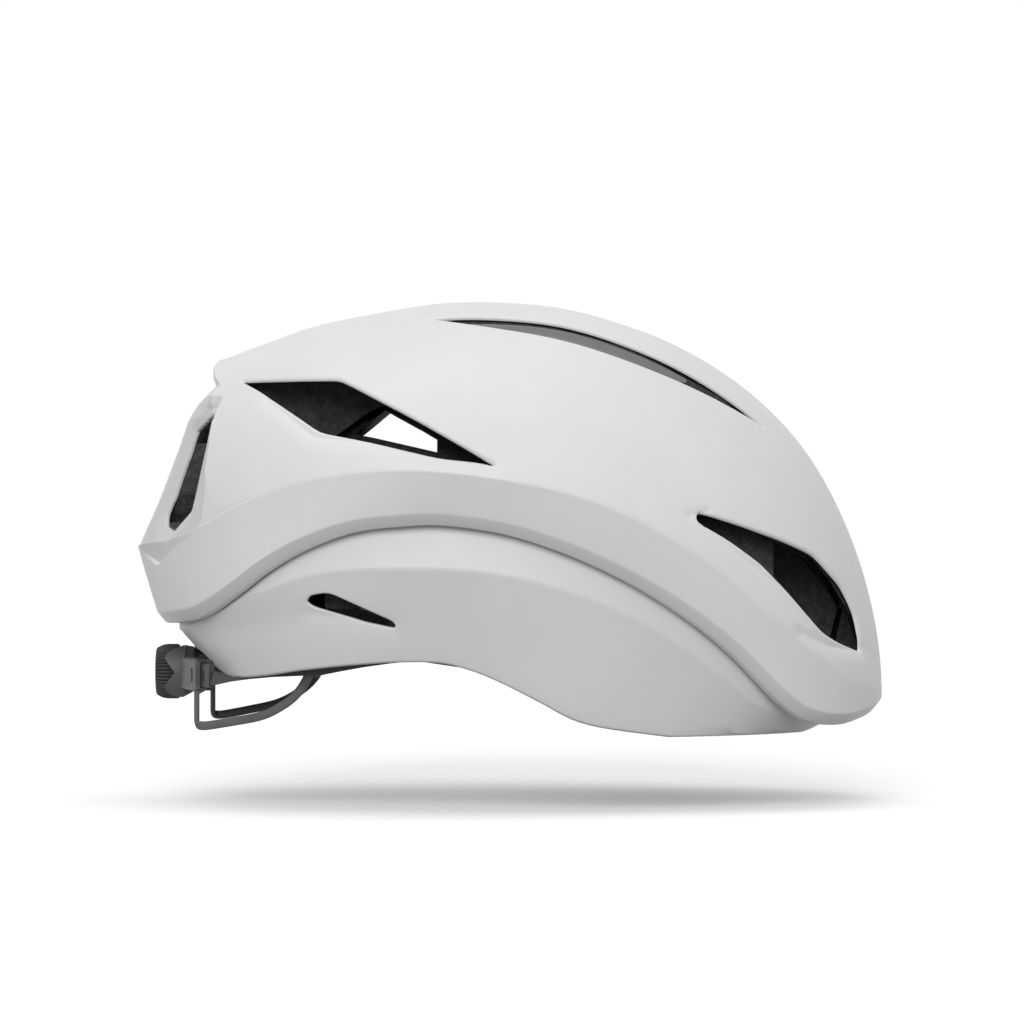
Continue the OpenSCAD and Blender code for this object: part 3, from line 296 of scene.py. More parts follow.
# the lower shell's white is darker than the upper's: painted shade for lying lower under the light from above
WHITE_LOW_SHADED = painted_shell("shell_white_lower_painted_shade", (0.77, 0.77, 0.77))
FOAM = bead_foam("bead_foam", (0.045, 0.045, 0.047))
NYLON = moulded("nylon_dark", (0.05, 0.05, 0.052))
NYLON_GREY = moulded("nylon_grey", (0.105, 0.105, 0.107), 0.48)
GRIP = moulded("soft_grip", (0.05, 0.05, 0.052), 0.62, 2200, 0.00006, 0.3)
RUBBER = moulded("elastomer", (0.02, 0.02, 0.022), 0.55)
ACETAL = moulded("acetal", (0.26, 0.26, 0.265), 0.35)
STEEL = machined("steel", (0.55, 0.55, 0.56))
HOOK = knit("hook_tape", (0.03, 0.03, 0.032), 0.0006)
FABRIC = knit("pad_knit", (0.07, 0.07, 0.074))
NYLON_LOOP = moulded("nylon_loop", (0.12, 0.12, 0.122), 0.45)
LINING = moulded("lining_grey", (0.17, 0.17, 0.172), 0.26, 600, 0.00002, 0.6)

# ---------------------------------------------------------------- the helmet's curves, in millimetres

HALF_L, HALF_W, CROWN = 142.5, 103.0, 162.4
WIDE_X = -12.0
SKIN, GLUE = 1.4, 0.4
LIP_H, LIP_IN, LIP_T = 4.0, 3.0, 3.0
TUCK_SIDE, TUCK_TAIL = 4.0, 7.5
LIP_RECESS, BROW_UP = 7.5, 8.0
BALL = np.array([120.0, 91.5, 96.0])
BALL_X, BALL_Z, BALL_GAP = 11.0, 50.0, 2.2
RIM_UP = 3.0
SKIRT = (125.0, 126.5, 95.6)
HEM = (120.5, 121.0, 87.0)
UP_BEND, LIP_BEND, LOW_BEND = (2.3, 2.1, 2.2, 1.9), (2.3, 2.1, 2.6, 2.2), (2.2, 2.1, 2.6, 2.2)
SIDE_P, SIDE_Q, SIDE_D = 2, 2.2, 20

CROWN_LAW = [(1, 0.08), (0.972, 0.288), (0.89, 0.501), (0.81, 0.629), (0.729, 0.718), (0.608, 0.812),
             (0.446, 0.898), (0.284, 0.953), (0.123, 0.988), (-0.056, 1), (-0.2, 0.9957), (-0.363, 0.973),
             (-0.524, 0.943), (-0.672, 0.898), (-0.776, 0.865), (-1, 0.775)]
CREASE_LAW = [(1, 0.08), (0.9, 0.114), (0.835, 0.155), (0.752, 0.215), (0.644, 0.291), (0.538, 0.371),
              (0.434, 0.432), (0.28, 0.504), (0.127, 0.55), (-0.025, 0.577), (-0.152, 0.592), (-0.279, 0.597),
              (-0.407, 0.5905), (-0.537, 0.571), (-0.695, 0.522), (-0.79, 0.476), (-0.9, 0.443), (-1, 0.42)]
LIP_LAW = [(1, 0.0776), (0.939, 0.051), (0.893, 0.0425), (0.836, 0.045), (0.785, 0.0567), (0.752, 0.0733),
           (0.698, 0.1133), (0.592, 0.2057), (0.487, 0.279), (0.358, 0.351), (0.23, 0.4076), (0.102, 0.452),
           (-0.025, 0.4834), (-0.178, 0.5012), (-0.279, 0.4988), (-0.407, 0.4858), (-0.537, 0.447),
           (-0.642, 0.397), (-0.723, 0.345), (-0.79, 0.3054), (-0.839, 0.285), (-0.93, 0.273), (-1, 0.273)]
SKIRT_LAW = [(1, 0.037), (0.737, 0.037), (0.646, 0.0634), (0.54, 0.138), (0.436, 0.206), (0.281, 0.2857),
             (0.128, 0.3356), (-0.025, 0.367), (-0.152, 0.378), (-0.281, 0.3805), (-0.434, 0.3756),
             (-0.539, 0.359), (-0.698, 0.306), (-0.77, 0.271), (-0.89, 0.231), (-1, 0.231)]
HEM_LAW = [(1, 0.03), (0.845, 0.017), (0.79, 0.0045), (0.729, -0.006), (0.49, -0.006), (0.386, 0.0055),
           (0.281, 0.0185), (0.206, 0.031), (0.154, 0.0468), (0.077, 0.083), (-0.025, 0.128), (-0.102, 0.155),
           (-0.179, 0.171), (-0.281, 0.173), (-0.41, 0.1656), (-0.54, 0.1527), (-0.647, 0.138),
           (-0.727, 0.134), (-0.768, 0.149), (-0.809, 0.18), (-0.85, 0.194), (-1, 0.194)]


def law(table, share):
    keys = np.arccos([row[0] for row in table])
    vals = np.array([row[1] for row in table])
    n = len(keys)
    lo, hi = np.maximum(np.arange(n) - 1, 0), np.minimum(np.arange(n) + 1, n - 1)
    slope = (vals[hi] - vals[lo]) / (keys[hi] - keys[lo])
    k = np.arccos(np.clip(share, -1, 1))
    i = np.clip(np.searchsorted(keys, k, side="left") - 1, 0, n - 2)
    h = keys[i + 1] - keys[i]
    s = (k - keys[i]) / h
    s2, s3 = s * s, s ** 3
    return (vals[i] * (2 * s3 - 3 * s2 + 1) + slope[i] * h * (s3 - 2 * s2 + s)
            + vals[i + 1] * (3 * s2 - 2 * s3) + slope[i + 1] * h * (s3 - s2))


def rise(table, x):
    return CROWN * law(table, np.asarray(x) / HALF_L)


def plan(u, nose, tail, wide, bend):
    """Plan curve at angles u in degrees, from the nose at 0 to the tail at 180, both sides."""
    c, s = np.cos(np.radians(u)), np.sin(np.radians(u))
    front = c >= 0
    a = np.abs(c)
    x = WIDE_X + np.where(front, nose * a ** (2 / bend[0]), -tail * a ** (2 / bend[2]))
    y = np.sign(s) * wide * np.where(front, np.abs(s) ** (2 / bend[1]), np.abs(s) ** (2 / bend[3]))
    return x, y


def nose_r(o):
    return HALF_L - WIDE_X - o


def tail_r(o):
    return HALF_L + WIDE_X - o


def stack(x, y, z):
    return np.stack(np.broadcast_arrays(x, y, z), -1)


def crease_at(u):
    x, y = plan(u, nose_r(0), tail_r(0), HALF_W, UP_BEND)
    return stack(x, y, rise(CREASE_LAW, x))


def lip_plan(u, o):
    return plan(u, nose_r(o), tail_r(TUCK_TAIL + o), HALF_W - TUCK_SIDE - o, LIP_BEND)


def lip_z(u):
    return rise(LIP_LAW, lip_plan(u, 0)[0])


def brow(u):
    return np.maximum(0, np.cos(np.radians(u))) ** 2


def recess(u):
    return LIP_RECESS + BROW_UP * brow(u)


def lip_top(u, o=0):
    x, y = lip_plan(u, o)
    return stack(x, y, lip_z(u))


def lip_low(u, o, dz):
    x, y = lip_plan(u, LIP_IN + o)
    return stack(x, y, lip_z(u) - LIP_H + dz)


def crease_w(x):
    f = np.clip((x - WIDE_X) / nose_r(0), 0, 1)
    b = np.clip((WIDE_X - x) / tail_r(0), 0, 1)
    return HALF_W * np.where(x >= WIDE_X, np.maximum(0, 1 - f ** UP_BEND[0]) ** (1 / UP_BEND[1]),
                             np.maximum(0, 1 - b ** UP_BEND[2]) ** (1 / UP_BEND[3]))


def roof(x, y):
    w = crease_w(x)
    top, low = rise(CROWN_LAW, x), rise(CREASE_LAW, x)
    span = top - low + SIDE_D
    r = SIDE_D / span
    k = np.where(w < 0.05, np.where(x < 0, 0, 1), np.minimum(1, np.abs(y) / np.maximum(w, 1e-6)))
    return low - SIDE_D + span * np.maximum(0, 1 - k ** SIDE_Q * (1 - r ** SIDE_P)) ** (1 / SIDE_P)


def mix(a, b, t):
    return a * (1 - t) + b * t


def ball_at(p, z, o):
    """Points of the ball seat on the rays towards p at heights z, o inside its surface."""
    a = np.arctan2(p[..., 1], p[..., 0] - BALL_X)
    k = np.sqrt(np.maximum(0.0004, 1 - ((z - BALL_Z) / (BALL[2] - o)) ** 2))
    r = k / np.sqrt((np.cos(a) / (BALL[0] - o)) ** 2 + (np.sin(a) / (BALL[1] - o)) ** 2)
    return stack(BALL_X + r * np.cos(a), r * np.sin(a), z)


def rim_out(u, o):
    return lip_low(u, LIP_T + BALL_GAP + o * (1 + 3 * brow(u)), RIM_UP + BROW_UP * brow(u) - o)


def rim_root(u, o):
    z = lip_z(u) - LIP_H + RIM_UP + BROW_UP * brow(u) + 1 - 0.4 * o
    return ball_at(lip_low(u, 0, 0), z, BALL_GAP + o)


def low_ring(u, o, size, table):
    """A ring of the lower half, drawn in by o, at the heights that the table gives the full ring."""
    full, drawn = (plan(u, size[0] - WIDE_X - i, size[1] + WIDE_X - i, size[2] - i, LOW_BEND) for i in (0, o))
    return stack(*drawn, rise(table, full[0]))


# the sloping tail panel and the edge of the roof over it
PANEL_LEAN = [(0, 0), (0.3, 0.267), (0.6, 0.5), (0.79, 0.634), (0.885, 0.76), (0.96, 0.9), (1, 1)]
LEDGE, HOOD_Z, HOOD_X, HOOD_R = 0.5, 0.8 * CROWN, HALF_L - 30.3, 210


def panel_x(y, z):
    """How far back the tail may reach at y and z."""
    k = np.maximum(0, 1 - np.minimum(1, np.abs(y) / HALF_W) ** UP_BEND[3]) ** (1 / UP_BEND[2])
    a = WIDE_X - tail_r(0) * k
    zc = rise(CREASE_LAW, a)
    h = -HOOD_X + y * y / (2 * HOOD_R)
    knots = [(-HALF_L - 40, zc + LEDGE - 0.6)]
    knots += [(mix(a + LEDGE, h, g1), mix(zc + LEDGE, HOOD_Z, g0)) for g0, g1 in PANEL_LEAN]
    knots += [(h - 1.2, HOOD_Z + 3), (h - 1.2, HOOD_Z + 7), (h + 1, HOOD_Z + 10.5), (h + 3, HOOD_Z + 40)]
    out = np.full(np.shape(y), -HALF_L - 40.0)
    for (x0, z0), (x1, z1) in zip(knots, knots[1:]):
        t = (z - z0) / np.maximum(1e-6, z1 - z0)
        out = np.where((t > 0) & (t <= 1), mix(x0, x1, t), out)
    return out


# vent outlines in shares of their own length and height
REAR = [(-0.03, 1), (0.37, 1), (0.41, 0.95), (0.7, 0.5), (1, 0), (0.94, 0.04), (0.78, 0.09), (0.5, 0.28),
        (0.3, 0.39), (0.22, 0.55), (0.06, 0.86)]
FRONT = [(-0.01, 0.97), (0.01, 1), (0.265, 0.905), (0.526, 0.795), (0.715, 0.695), (0.895, 0.468), (0.98, 0.27),
         (1.025, 0), (0.87, 0.07), (0.758, 0.15), (0.55, 0.43), (0.379, 0.64), (0.18, 0.81), (0, 0.935)]
SIDE_SKIRT = [(0, 0.75), (0.04, 0.92), (0.2, 1), (0.29, 0.97), (0.96, 0.2), (1, 0.06), (0.97, 0), (0.65, 0.17),
              (0.44, 0.33), (0.07, 0.6)]
PORT_OUT = [(46.5, 119), (51, 82.5), (42, 74.8), (33.5, 77.2), (30.5, 81.1), (31.5, 112.5)]
PORT_IN = [(5, 79), (13, 79), (17, 119), (5.5, 119)]


def placed(form, x, z, length, height):
    return np.array([(x + p[0] * length, z + p[1] * height) for p in form])


SLOT_START, SLOT_RUN, SLOT_WIDE = -30, 126, 13


def slot_bow(t):
    """The slot's outer line: its |y| at share t of its length."""
    return 46 - 8 * (np.maximum(0, t - 0.6) / 0.4) ** 2


def slot_outline():
    n = 12
    t = np.arange(n + 1) / n
    x, bow = SLOT_START + SLOT_RUN * t, slot_bow(t)
    wide = SLOT_WIDE * np.sin(np.radians(180 * t ** 0.85)).clip(0) ** 0.8
    return np.array(list(zip(x, bow)) + [(x[k], bow[k] + wide[k]) for k in range(n - 1, 0, -1)])


def rounded(form, sharp, soft, turns=2):
    """Cuts the corners of an outline, more at blunt corners than at its points."""
    for _ in range(turns):
        out = []
        n = len(form)
        for i in range(n):
            p, a, b = form[i], form[i - 1], form[(i + 1) % n]
            da, db = a - p, b - p
            la, lb = np.hypot(*da), np.hypot(*db)
            blunt = -float(da @ db) / (la * lb)
            cut = mix(sharp, soft, max(0.0, blunt) ** 4)
            ca, cb = min(cut, la * 0.3), min(cut, lb * 0.3)
            out += [p + da / la * ca, p + db / lb * cb]
        form = np.array(out)
    return form


FAR, NO_CUT = 1e9, 60.0
# where the openings of each kind lie: |y| of the side vents, z of the slots, x of the tail, |y| of the skirt vents
SIDE_FROM, SLOT_FROM, TAIL_FROM, SKIRT_FROM, DENT_SIDE = 12, 90, -60, 30, 20
REAR_FORM = rounded(placed(REAR, -97.5, 99.2, 92, 32), 0.2, 2.0)
FRONT_FORM = rounded(placed(FRONT, 69, 30, 62, 52), 0.4, 2.2)
SKIRT_FORM = rounded(placed(SIDE_SKIRT, -74.6, 39.4, 33, 13), 0.3, 1.2)
SLOT_FORM = rounded(slot_outline(), 0.1, 4.0)
PORT_FORMS = [rounded(np.array(f, float), 0.5, 0.9) for f in (PORT_OUT, PORT_IN)]


def to_segment(p, q, r):
    """Distance of points p to the line from q to r."""
    d = r - q
    t = np.clip(((p - q) @ d) / (d @ d), 0, 1)
    return np.hypot(*(p - q - t[:, None] * d).T)


def away_from(form, a, b):
    """Signed distance of points (a, b) to a closed outline, positive outside it."""
    p = np.stack([a, b], -1)
    best = np.full(len(p), FAR)
    inside = np.zeros(len(p), bool)
    for q, r in zip(form, np.roll(form, -1, 0)):
        best = np.minimum(best, to_segment(p, q, r))
        crosses = (q[1] > p[:, 1]) != (r[1] > p[:, 1])
        with np.errstate(divide="ignore", invalid="ignore"):
            x = q[0] + (p[:, 1] - q[1]) / (r[1] - q[1]) * (r[0] - q[0])
        inside ^= crosses & (p[:, 0] < x)
    return np.where(inside, -best, best)


# radius of the rolled edge round each kind of opening
ROLL_SIDE, ROLL_SLOT, ROLL_PORT, ROLL_SKIRT = 1.2, 0.8, 0.7, 0.7

# soft dents beside the vents: a line in (x, z), how far they reach from it and how deep they are
DENTS_UP = [([(-90, 124), (-72, 110), (-52, 107.5), (-25, 102), (-7, 99.4)], 6.5, 1.1),
            ([(69, 81), (72, 76), (96, 57), (110, 40)], 3.0, 0.5),
            ([(108, 37.5), (119, 32.5), (131.5, 30)], 5.5, 1.2), ([(66, 81), (72, 82.5)], 3.5, 0.6)]
DENTS_LOW = [([(-104, 38), (-72, 45), (-44, 40.5)], 9, 0.9)]


def dented(points, dents):
    """How far the surface sinks at each point, from the soft dents on both sides."""
    out = np.zeros(len(points))
    p = points[:, [0, 2]]
    for line, reach, deep in dents:
        line = np.array(line, float)
        near = np.min([to_segment(p, q, r) for q, r in zip(line[:-1], line[1:])], 0)
        hit = deep * np.clip(1 - near / reach, 0, 1) ** 2
        out = np.maximum(out, np.where(np.abs(points[:, 1]) > DENT_SIDE, hit, 0))
    return out


def upper_fields(p):
    """Distances to the upper half's openings as shares of their edges' radii, and those radii."""
    x, y, z = p.T
    wide = np.abs(y)
    side = np.minimum(away_from(REAR_FORM, x, z), away_from(FRONT_FORM, x, z))
    slot = away_from(SLOT_FORM, x, wide)
    port = np.minimum(*[away_from(form, wide, z) for form in PORT_FORMS])
    return [np.where(wide > SIDE_FROM, side, NO_CUT) / ROLL_SIDE, np.where(z > SLOT_FROM, slot, NO_CUT) / ROLL_SLOT,
            np.where(x < TAIL_FROM, port, NO_CUT) / ROLL_PORT], (ROLL_SIDE, ROLL_SLOT, ROLL_PORT)


def lower_fields(p):
    """The same for the lower half."""
    x, y, z = p.T
    vent = away_from(SKIRT_FORM, x, z)
    return [np.where(np.abs(y) > SKIRT_FROM, vent, NO_CUT) / ROLL_SKIRT], (ROLL_SKIRT,)


# ---------------------------------------------------------------- sheets that are cut and rolled at the vents


# what a triangle with 1, 2 or 3 split edges becomes: 0-2 are its corners, 3-5 the new points on its edges
PARTS = {1: [(0, 3, 2), (3, 1, 2)], 2: [(3, 1, 4), (0, 3, 4), (0, 4, 2)],
         3: [(0, 3, 5), (3, 1, 4), (5, 4, 2), (3, 4, 5)]}


def split(points, tris, marked_of, share_of):
    """Splits marked edges. Both callbacks take the two end indices of every edge."""
    n = len(points)
    pairs = np.concatenate([tris[:, [0, 1]], tris[:, [1, 2]], tris[:, [2, 0]]])
    lo, hi = pairs.min(1), pairs.max(1)
    keys, back = np.unique(lo.astype(np.int64) * n + hi, return_inverse=True)
    a, b = keys // n, keys % n
    marked = marked_of(a, b)
    t = share_of(a, b)[marked][:, None]
    index = np.full(len(keys), -1)
    index[marked] = n + np.arange(marked.sum())
    fresh = points[a[marked]] * (1 - t) + points[b[marked]] * t
    mid = index[back].reshape(3, len(tris)).T
    count = (mid >= 0).sum(1)
    out = [tris[count == 0]]
    # each triangle is turned until its one split edge comes first, or its one whole edge last
    for splits, turns in ((1, 3), (2, 3), (3, 1)):
        for k in range(turns):
            fits = mid[:, k - 1] < 0 if splits == 2 else mid[:, k] >= 0
            rows = (count == splits) & fits
            six = np.column_stack([np.roll(tris[rows], -k, 1), np.roll(mid[rows], -k, 1)])
            out += [six[:, list(part)] for part in PARTS[splits]]
    return np.concatenate([points, fresh]), np.concatenate(out)


def refine(points, tris, near):
    """Quarters the triangles that the mask picks, and halves their neighbours to fit."""
    n = len(points)
    picked = tris[near]
    pairs = np.concatenate([picked[:, [0, 1]], picked[:, [1, 2]], picked[:, [2, 0]]])
    wanted = np.unique(pairs.min(1).astype(np.int64) * n + pairs.max(1))
    return split(points, tris, lambda a, b: np.isin(a.astype(np.int64) * n + b, wanted),
                 lambda a, b: np.full(len(a), 0.5))


def cut_at(points, tris, column, level):
    """Puts vertices on the line where a column of the points has the level."""
    f = points[:, column] - level
    f[np.abs(f) < 0.012] = 0
    points[:, column] = f + level

    def share(a, b):
        with np.errstate(divide="ignore", invalid="ignore"):
            return np.nan_to_num(f[a] / (f[a] - f[b]))
    return split(points, tris, lambda a, b: f[a] * f[b] < 0, share)


def normals_of(points, tris):
    p = points[:, :3]
    face = np.cross(p[tris[:, 1]] - p[tris[:, 0]], p[tris[:, 2]] - p[tris[:, 0]])
    out = np.zeros_like(p)
    for k in range(3):
        np.add.at(out, tris[:, k], face)
    return out / np.maximum(1e-9, np.linalg.norm(out, axis=1))[:, None]


def grid_tris(rows, count, poled=False):
    """Triangles of a ring grid; poled adds a fan round vertex 0 before the first ring."""
    k = np.arange(count)
    nxt = (k + 1) % count
    out = []
    first = 1 if poled else 0
    if poled:
        out.append(np.stack([np.zeros(count, int), first + k, first + nxt], 1))
    for i in range(rows - 1):
        a, b = first + i * count + k, first + i * count + nxt
        c, d = b + count, a + count
        out += [np.stack([a, d, c], 1), np.stack([a, c, b], 1)]
    return np.concatenate(out)


def tube_tris(rows, count):
    """Triangles of a ring grid with a fan at both ends, round the first and the last vertex."""
    k = np.arange(count)
    last = 1 + (rows - 1) * count
    end = np.full(count, last + count)
    return np.concatenate([grid_tris(rows, count, True), np.stack([end, last + (k + 1) % count, last + k], 1)])


# where the sheet is refined beside an opening, and where its roll gets rings of vertices, in edge radii
FINE_BANDS = (6.6, 3.6, 1.35)
ROLL_STEPS = [1 - math.sin(math.radians(a)) for a in (0, 18, 36, 54, 72, 90)]


def rolled_sheet(points, tris, fields_of, dents):
    """Cuts the vents out of a sheet and rolls its edges inward round them."""
    for size in FINE_BANDS:
        near = np.min(fields_of(points)[0], 0)[tris]
        points, tris = refine(points, tris, (near.min(1) < size) & (near.max(1) > -size))
    points = np.column_stack([points, np.min(fields_of(points)[0], 0)])
    for level in ROLL_STEPS:
        points, tris = cut_at(points, tris, 3, level)
    tris = tris[points[tris, 3].min(1) > -1e-9]
    normals = normals_of(points, tris)
    fields, radii = fields_of(points[:, :3])
    radius = np.array(radii)[np.argmin(fields, 0)]
    g = np.clip(points[:, 3], 0, 1)
    drop = radius * (1 - np.sqrt(1 - (1 - g) ** 2))
    dent = dented(points, dents)
    outer = points[:, :3] - normals * (drop + dent)[:, None]
    inner = points[:, :3] - normals * (np.maximum(drop + 0.1, SKIN - 0.1) + dent)[:, None]
    return walled(outer, inner, tris)


def walled(outer, inner, tris):
    """Joins two copies of a sheet round their open edges."""
    n = len(outer)
    edges = np.concatenate([tris[:, [0, 1]], tris[:, [1, 2]], tris[:, [2, 0]]])
    key = edges.min(1).astype(np.int64) * n + edges.max(1)
    _, first, count = np.unique(key, return_index=True, return_counts=True)
    a, b = edges[first[count == 1]].T
    rim = [np.stack([b, a, a + n], 1), np.stack([b, a + n, b + n], 1)]
    return np.concatenate([outer, inner]), np.concatenate([tris, tris[:, ::-1] + n] + rim)


def object_from(name, points, tris, material, body, smooth_angle=40):
    """A piece on a body from points in millimetres, with its slivers merged."""
    mesh = bpy.data.meshes.new(name)
    used = np.unique(tris)
    renum = np.full(len(points), -1)
    renum[used] = np.arange(len(used))
    mesh.from_pydata((points[used] * MM).tolist(), [], renum[tris].tolist())
    bm = bmesh.new()
    bm.from_mesh(mesh)
    bmesh.ops.remove_doubles(bm, verts=bm.verts, dist=MERGE)
    bmesh.ops.dissolve_degenerate(bm, edges=bm.edges, dist=MERGE)
    bm.to_mesh(mesh)
    bm.free()
    obj = link(bpy.data.objects.new(name, mesh))
    obj.data.materials.append(material)
    smooth(obj, smooth_angle)
    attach(obj, body)
    return obj


def apply_modifiers(obj):
    graph = bpy.context.evaluated_depsgraph_get()
    done = bpy.data.meshes.new_from_object(obj.evaluated_get(graph))
    old = obj.data
    obj.modifiers.clear()
    obj.data = done
    bpy.data.meshes.remove(old)


def smooth(obj, angle):
    """Smooth shading, with edges sharper than the angle kept crisp."""
    mesh = obj.data
    mesh.shade_smooth()
    bm = bmesh.new()
    bm.from_mesh(mesh)
    limit = math.radians(angle)
    for edge in bm.edges:
        edge.smooth = len(edge.link_faces) == 2 and edge.calc_face_angle(0) < limit
    bm.to_mesh(mesh)
    bm.free()


AROUND = 320


# the sunk tail panel's outline in (|y|, z), and how deep it is sunk
PANEL_FORM = rounded(np.array([(-40, 69.5), (8, 69.5), (37, 61.8), (60, 72.5), (64, 78), (62.5, 90), (57, 106),
                               (46, 126), (-40, 126)], float), 0.3, 1.5)
PANEL_STEP, PANEL_EASE, FRAME, FRAME_DEEP, HOOD_LOW = 2.2, 1.1, 5.0, 1.4, 126.0


def at_tail(p):
    """The tail's points: the new x, the distance inside the panel, over its plane and round its outer port."""
    x, y, z = p.T
    wide = np.abs(y)
    wall = panel_x(y, z)
    inside = np.where(x < TAIL_FROM, -away_from(PANEL_FORM, wide, z), -NO_CUT)
    port = away_from(PORT_FORMS[0], wide, z)
    ease = np.clip((HOOD_LOW - z) / 5, 0, 1) * np.clip(inside / PANEL_EASE, 0, 1)
    sunk = PANEL_STEP * np.clip((wide - 20) / 20, 0, 1) + FRAME_DEEP * np.clip(1 - port / FRAME, 0, 1)
    return np.where(x < TAIL_FROM, np.maximum(x, wall), x) + sunk * ease, inside, x - wall, port


def dome_rings(u, rows):
    """Rings of the roof from the crown to the crease, evenly spaced along what stays of each profile."""
    outer = crease_at(u)
    s = np.sin(np.linspace(0, math.pi / 2, 241))[:-1, None]
    x, y = WIDE_X + s * (outer[:, 0] - WIDE_X), s * outer[:, 1]
    dense = stack(x, y, roof(x, y))
    t = np.linspace(0, 1, 61)[1:, None, None]
    dense = np.concatenate([dense, dense[-1] * (1 - t) + outer * t])
    seen = dense.copy()
    seen[..., 0] = np.maximum(seen[..., 0], panel_x(seen[..., 1], seen[..., 2]))
    run = np.concatenate([np.zeros((1, len(u))), np.cumsum(np.linalg.norm(np.diff(seen, axis=0), axis=2), 0)])
    want = (np.arange(rows) + 1) / rows
    rings = np.empty((rows, len(u), 3))
    for i in range(len(u)):
        for k in range(3):
            rings[:, i, k] = np.interp(want * run[-1, i], run[:, i], dense[:, i, k])
    return list(rings)


def upper_shell():
    u = np.arange(AROUND) * 360 / AROUND
    outer, low = crease_at(u), lip_top(u)
    rings = dome_rings(u, 84)
    tall = np.linalg.norm(outer - low, axis=1)
    for share in (0.025, 0.06, 0.16, 0.3, 0.45, 0.6, 0.75, 0.88, 0.96, 1):
        p = mix(outer, low, share)
        p[:, 2] -= np.minimum(2.4, 0.2 * tall) * share * (1 - share)
        rings.append(p)
    for k, dz in ((-0.25, LIP_H - 0.35), (0.0, 0.12), (0.3, -0.05), (0.8, -0.2), (LIP_T - 0.4, -0.2), (LIP_T, 0.4)):
        rings.append(lip_low(u, k, dz) if dz < 3 else mix(low, lip_low(u, 0, 0.12), 0.08))
    rings.append(lip_low(u, LIP_T, recess(u) - 1.2))
    points = np.concatenate([np.array([[WIDE_X, 0, float(rise(CROWN_LAW, WIDE_X))]])] + rings)
    tris = grid_tris(len(rings), AROUND, True)
    # the hood's edge and the sunk tail panel take the place of the dome behind them
    for reach in (4, 1.5):
        _, inside, over, port = at_tail(points)
        hood = np.abs(over) < reach
        edge = (np.abs(inside) < reach) | ((np.abs(port - FRAME) < reach) & (inside > -1)) | hood
        points, tris = refine(points, tris, edge[tris].any(1) & (points[tris, 0].max(1) < TAIL_FROM))
    for column, levels in ((1, (0.0, PANEL_EASE)), (3, (FRAME,)), (2, (-0.3, 0.0, 0.3))):
        for level in levels:
            field = np.where(points[:, 0] < TAIL_FROM, at_tail(points)[column], NO_CUT if column > 1 else -NO_CUT)
            points, tris = cut_at(np.column_stack([points, field]), tris, 3, level)
            points = points[:, :3]
    points[:, 0] = np.where(points[:, 0] < TAIL_FROM, at_tail(points)[0], points[:, 0])
    points, tris = rolled_sheet(points, tris, upper_fields, DENTS_UP)
    obj = object_from("upper_shell_painted", points, tris, WHITE_UP, "upper_half")
    # the share inside the tail panel goes into the sunk attribute, which the paint uses for painted shade on the
    # panel
    places = np.empty(len(obj.data.vertices) * 3)
    obj.data.vertices.foreach_get("co", places)
    inside = at_tail(places.reshape(-1, 3) / MM)[1]
    sunk = obj.data.attributes.new("sunk", "FLOAT", "POINT")
    sunk.data.foreach_set("value", np.clip(inside / PANEL_EASE, 0, 1))
    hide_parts("upper_shell")
    return obj


def lower_shell():
    u = np.arange(AROUND) * 360 / AROUND
    top, mid, edge = rim_out(u, 0), low_ring(u, 0, SKIRT, SKIRT_LAW), low_ring(u, 0, HEM, HEM_LAW)
    rings = [rim_root(u, 0), mix(rim_root(u, 0), top, 0.9), top]
    rings += [mix(top, mid, t) for t in (0.08, 0.25, 0.45, 0.65, 0.85, 0.96, 1)]
    rings += [mix(mid, edge, t) for t in (0.04, 0.15, 0.3, 0.45, 0.6, 0.75, 0.9, 1)]
    lowest = [0.0] * len(rings)
    # the hem rolls in under the foam: how far in, how far down, and no lower than z
    for inward, down, z in ((0.15, 0.45, -0.3), (0.6, 0.85, -0.6), (1.5, 1.0, -0.7), (2.4, 0.9, -0.65)):
        p = low_ring(u, inward, HEM, HEM_LAW)
        p[:, 2] = edge[:, 2] - down
        rings.append(p)
        lowest.append(z)
    points = np.concatenate(rings)
    points[:, 2] = np.maximum(points[:, 2], np.repeat(lowest, AROUND))
    tris = grid_tris(len(rings), AROUND)
    points, tris = rolled_sheet(points, tris, lower_fields, DENTS_LOW)
    obj = object_from("lower_shell_painted", points, tris, WHITE_LOW_SHADED, "lower_half")
    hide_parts("lower_shell")
    return obj


upper_shell()
lower_shell()

# ---------------------------------------------------------------- forms carved from the CAD's own


def outward(mesh):
    """Turns all faces of a closed mesh outward."""
    bm = bmesh.new()
    bm.from_mesh(mesh)
    bmesh.ops.recalc_face_normals(bm, faces=bm.faces)
    bm.to_mesh(mesh)
    bm.free()


def helper_solid(points, faces):
    """A closed solid for carving, from points in millimetres."""
    mesh = bpy.data.meshes.new("helper")
    mesh.from_pydata((np.asarray(points, float) * MM).tolist(), [], faces)
    outward(mesh)
    return link(bpy.data.objects.new("helper", mesh))


def loft(rings):
    """A solid through closed rings of points, flat at both ends."""
    count, total = len(rings[0]), len(rings) * len(rings[0])
    faces = [list(range(count)), list(range(total - 1, total - count - 1, -1))]
    for first in range(0, total - count, count):
        faces += [[first + i, first + (i + 1) % count, first + count + (i + 1) % count, first + count + i]
                  for i in range(count)]
    return helper_solid(np.concatenate(rings), faces)


def prism(form, axis, start, end):
    """An outline pulled along y (form in x, z) or along x (form in y, z)."""
    return loft([[(a, at, b) if axis == "y" else (at, a, b) for a, b in form] for at in (start, end)])


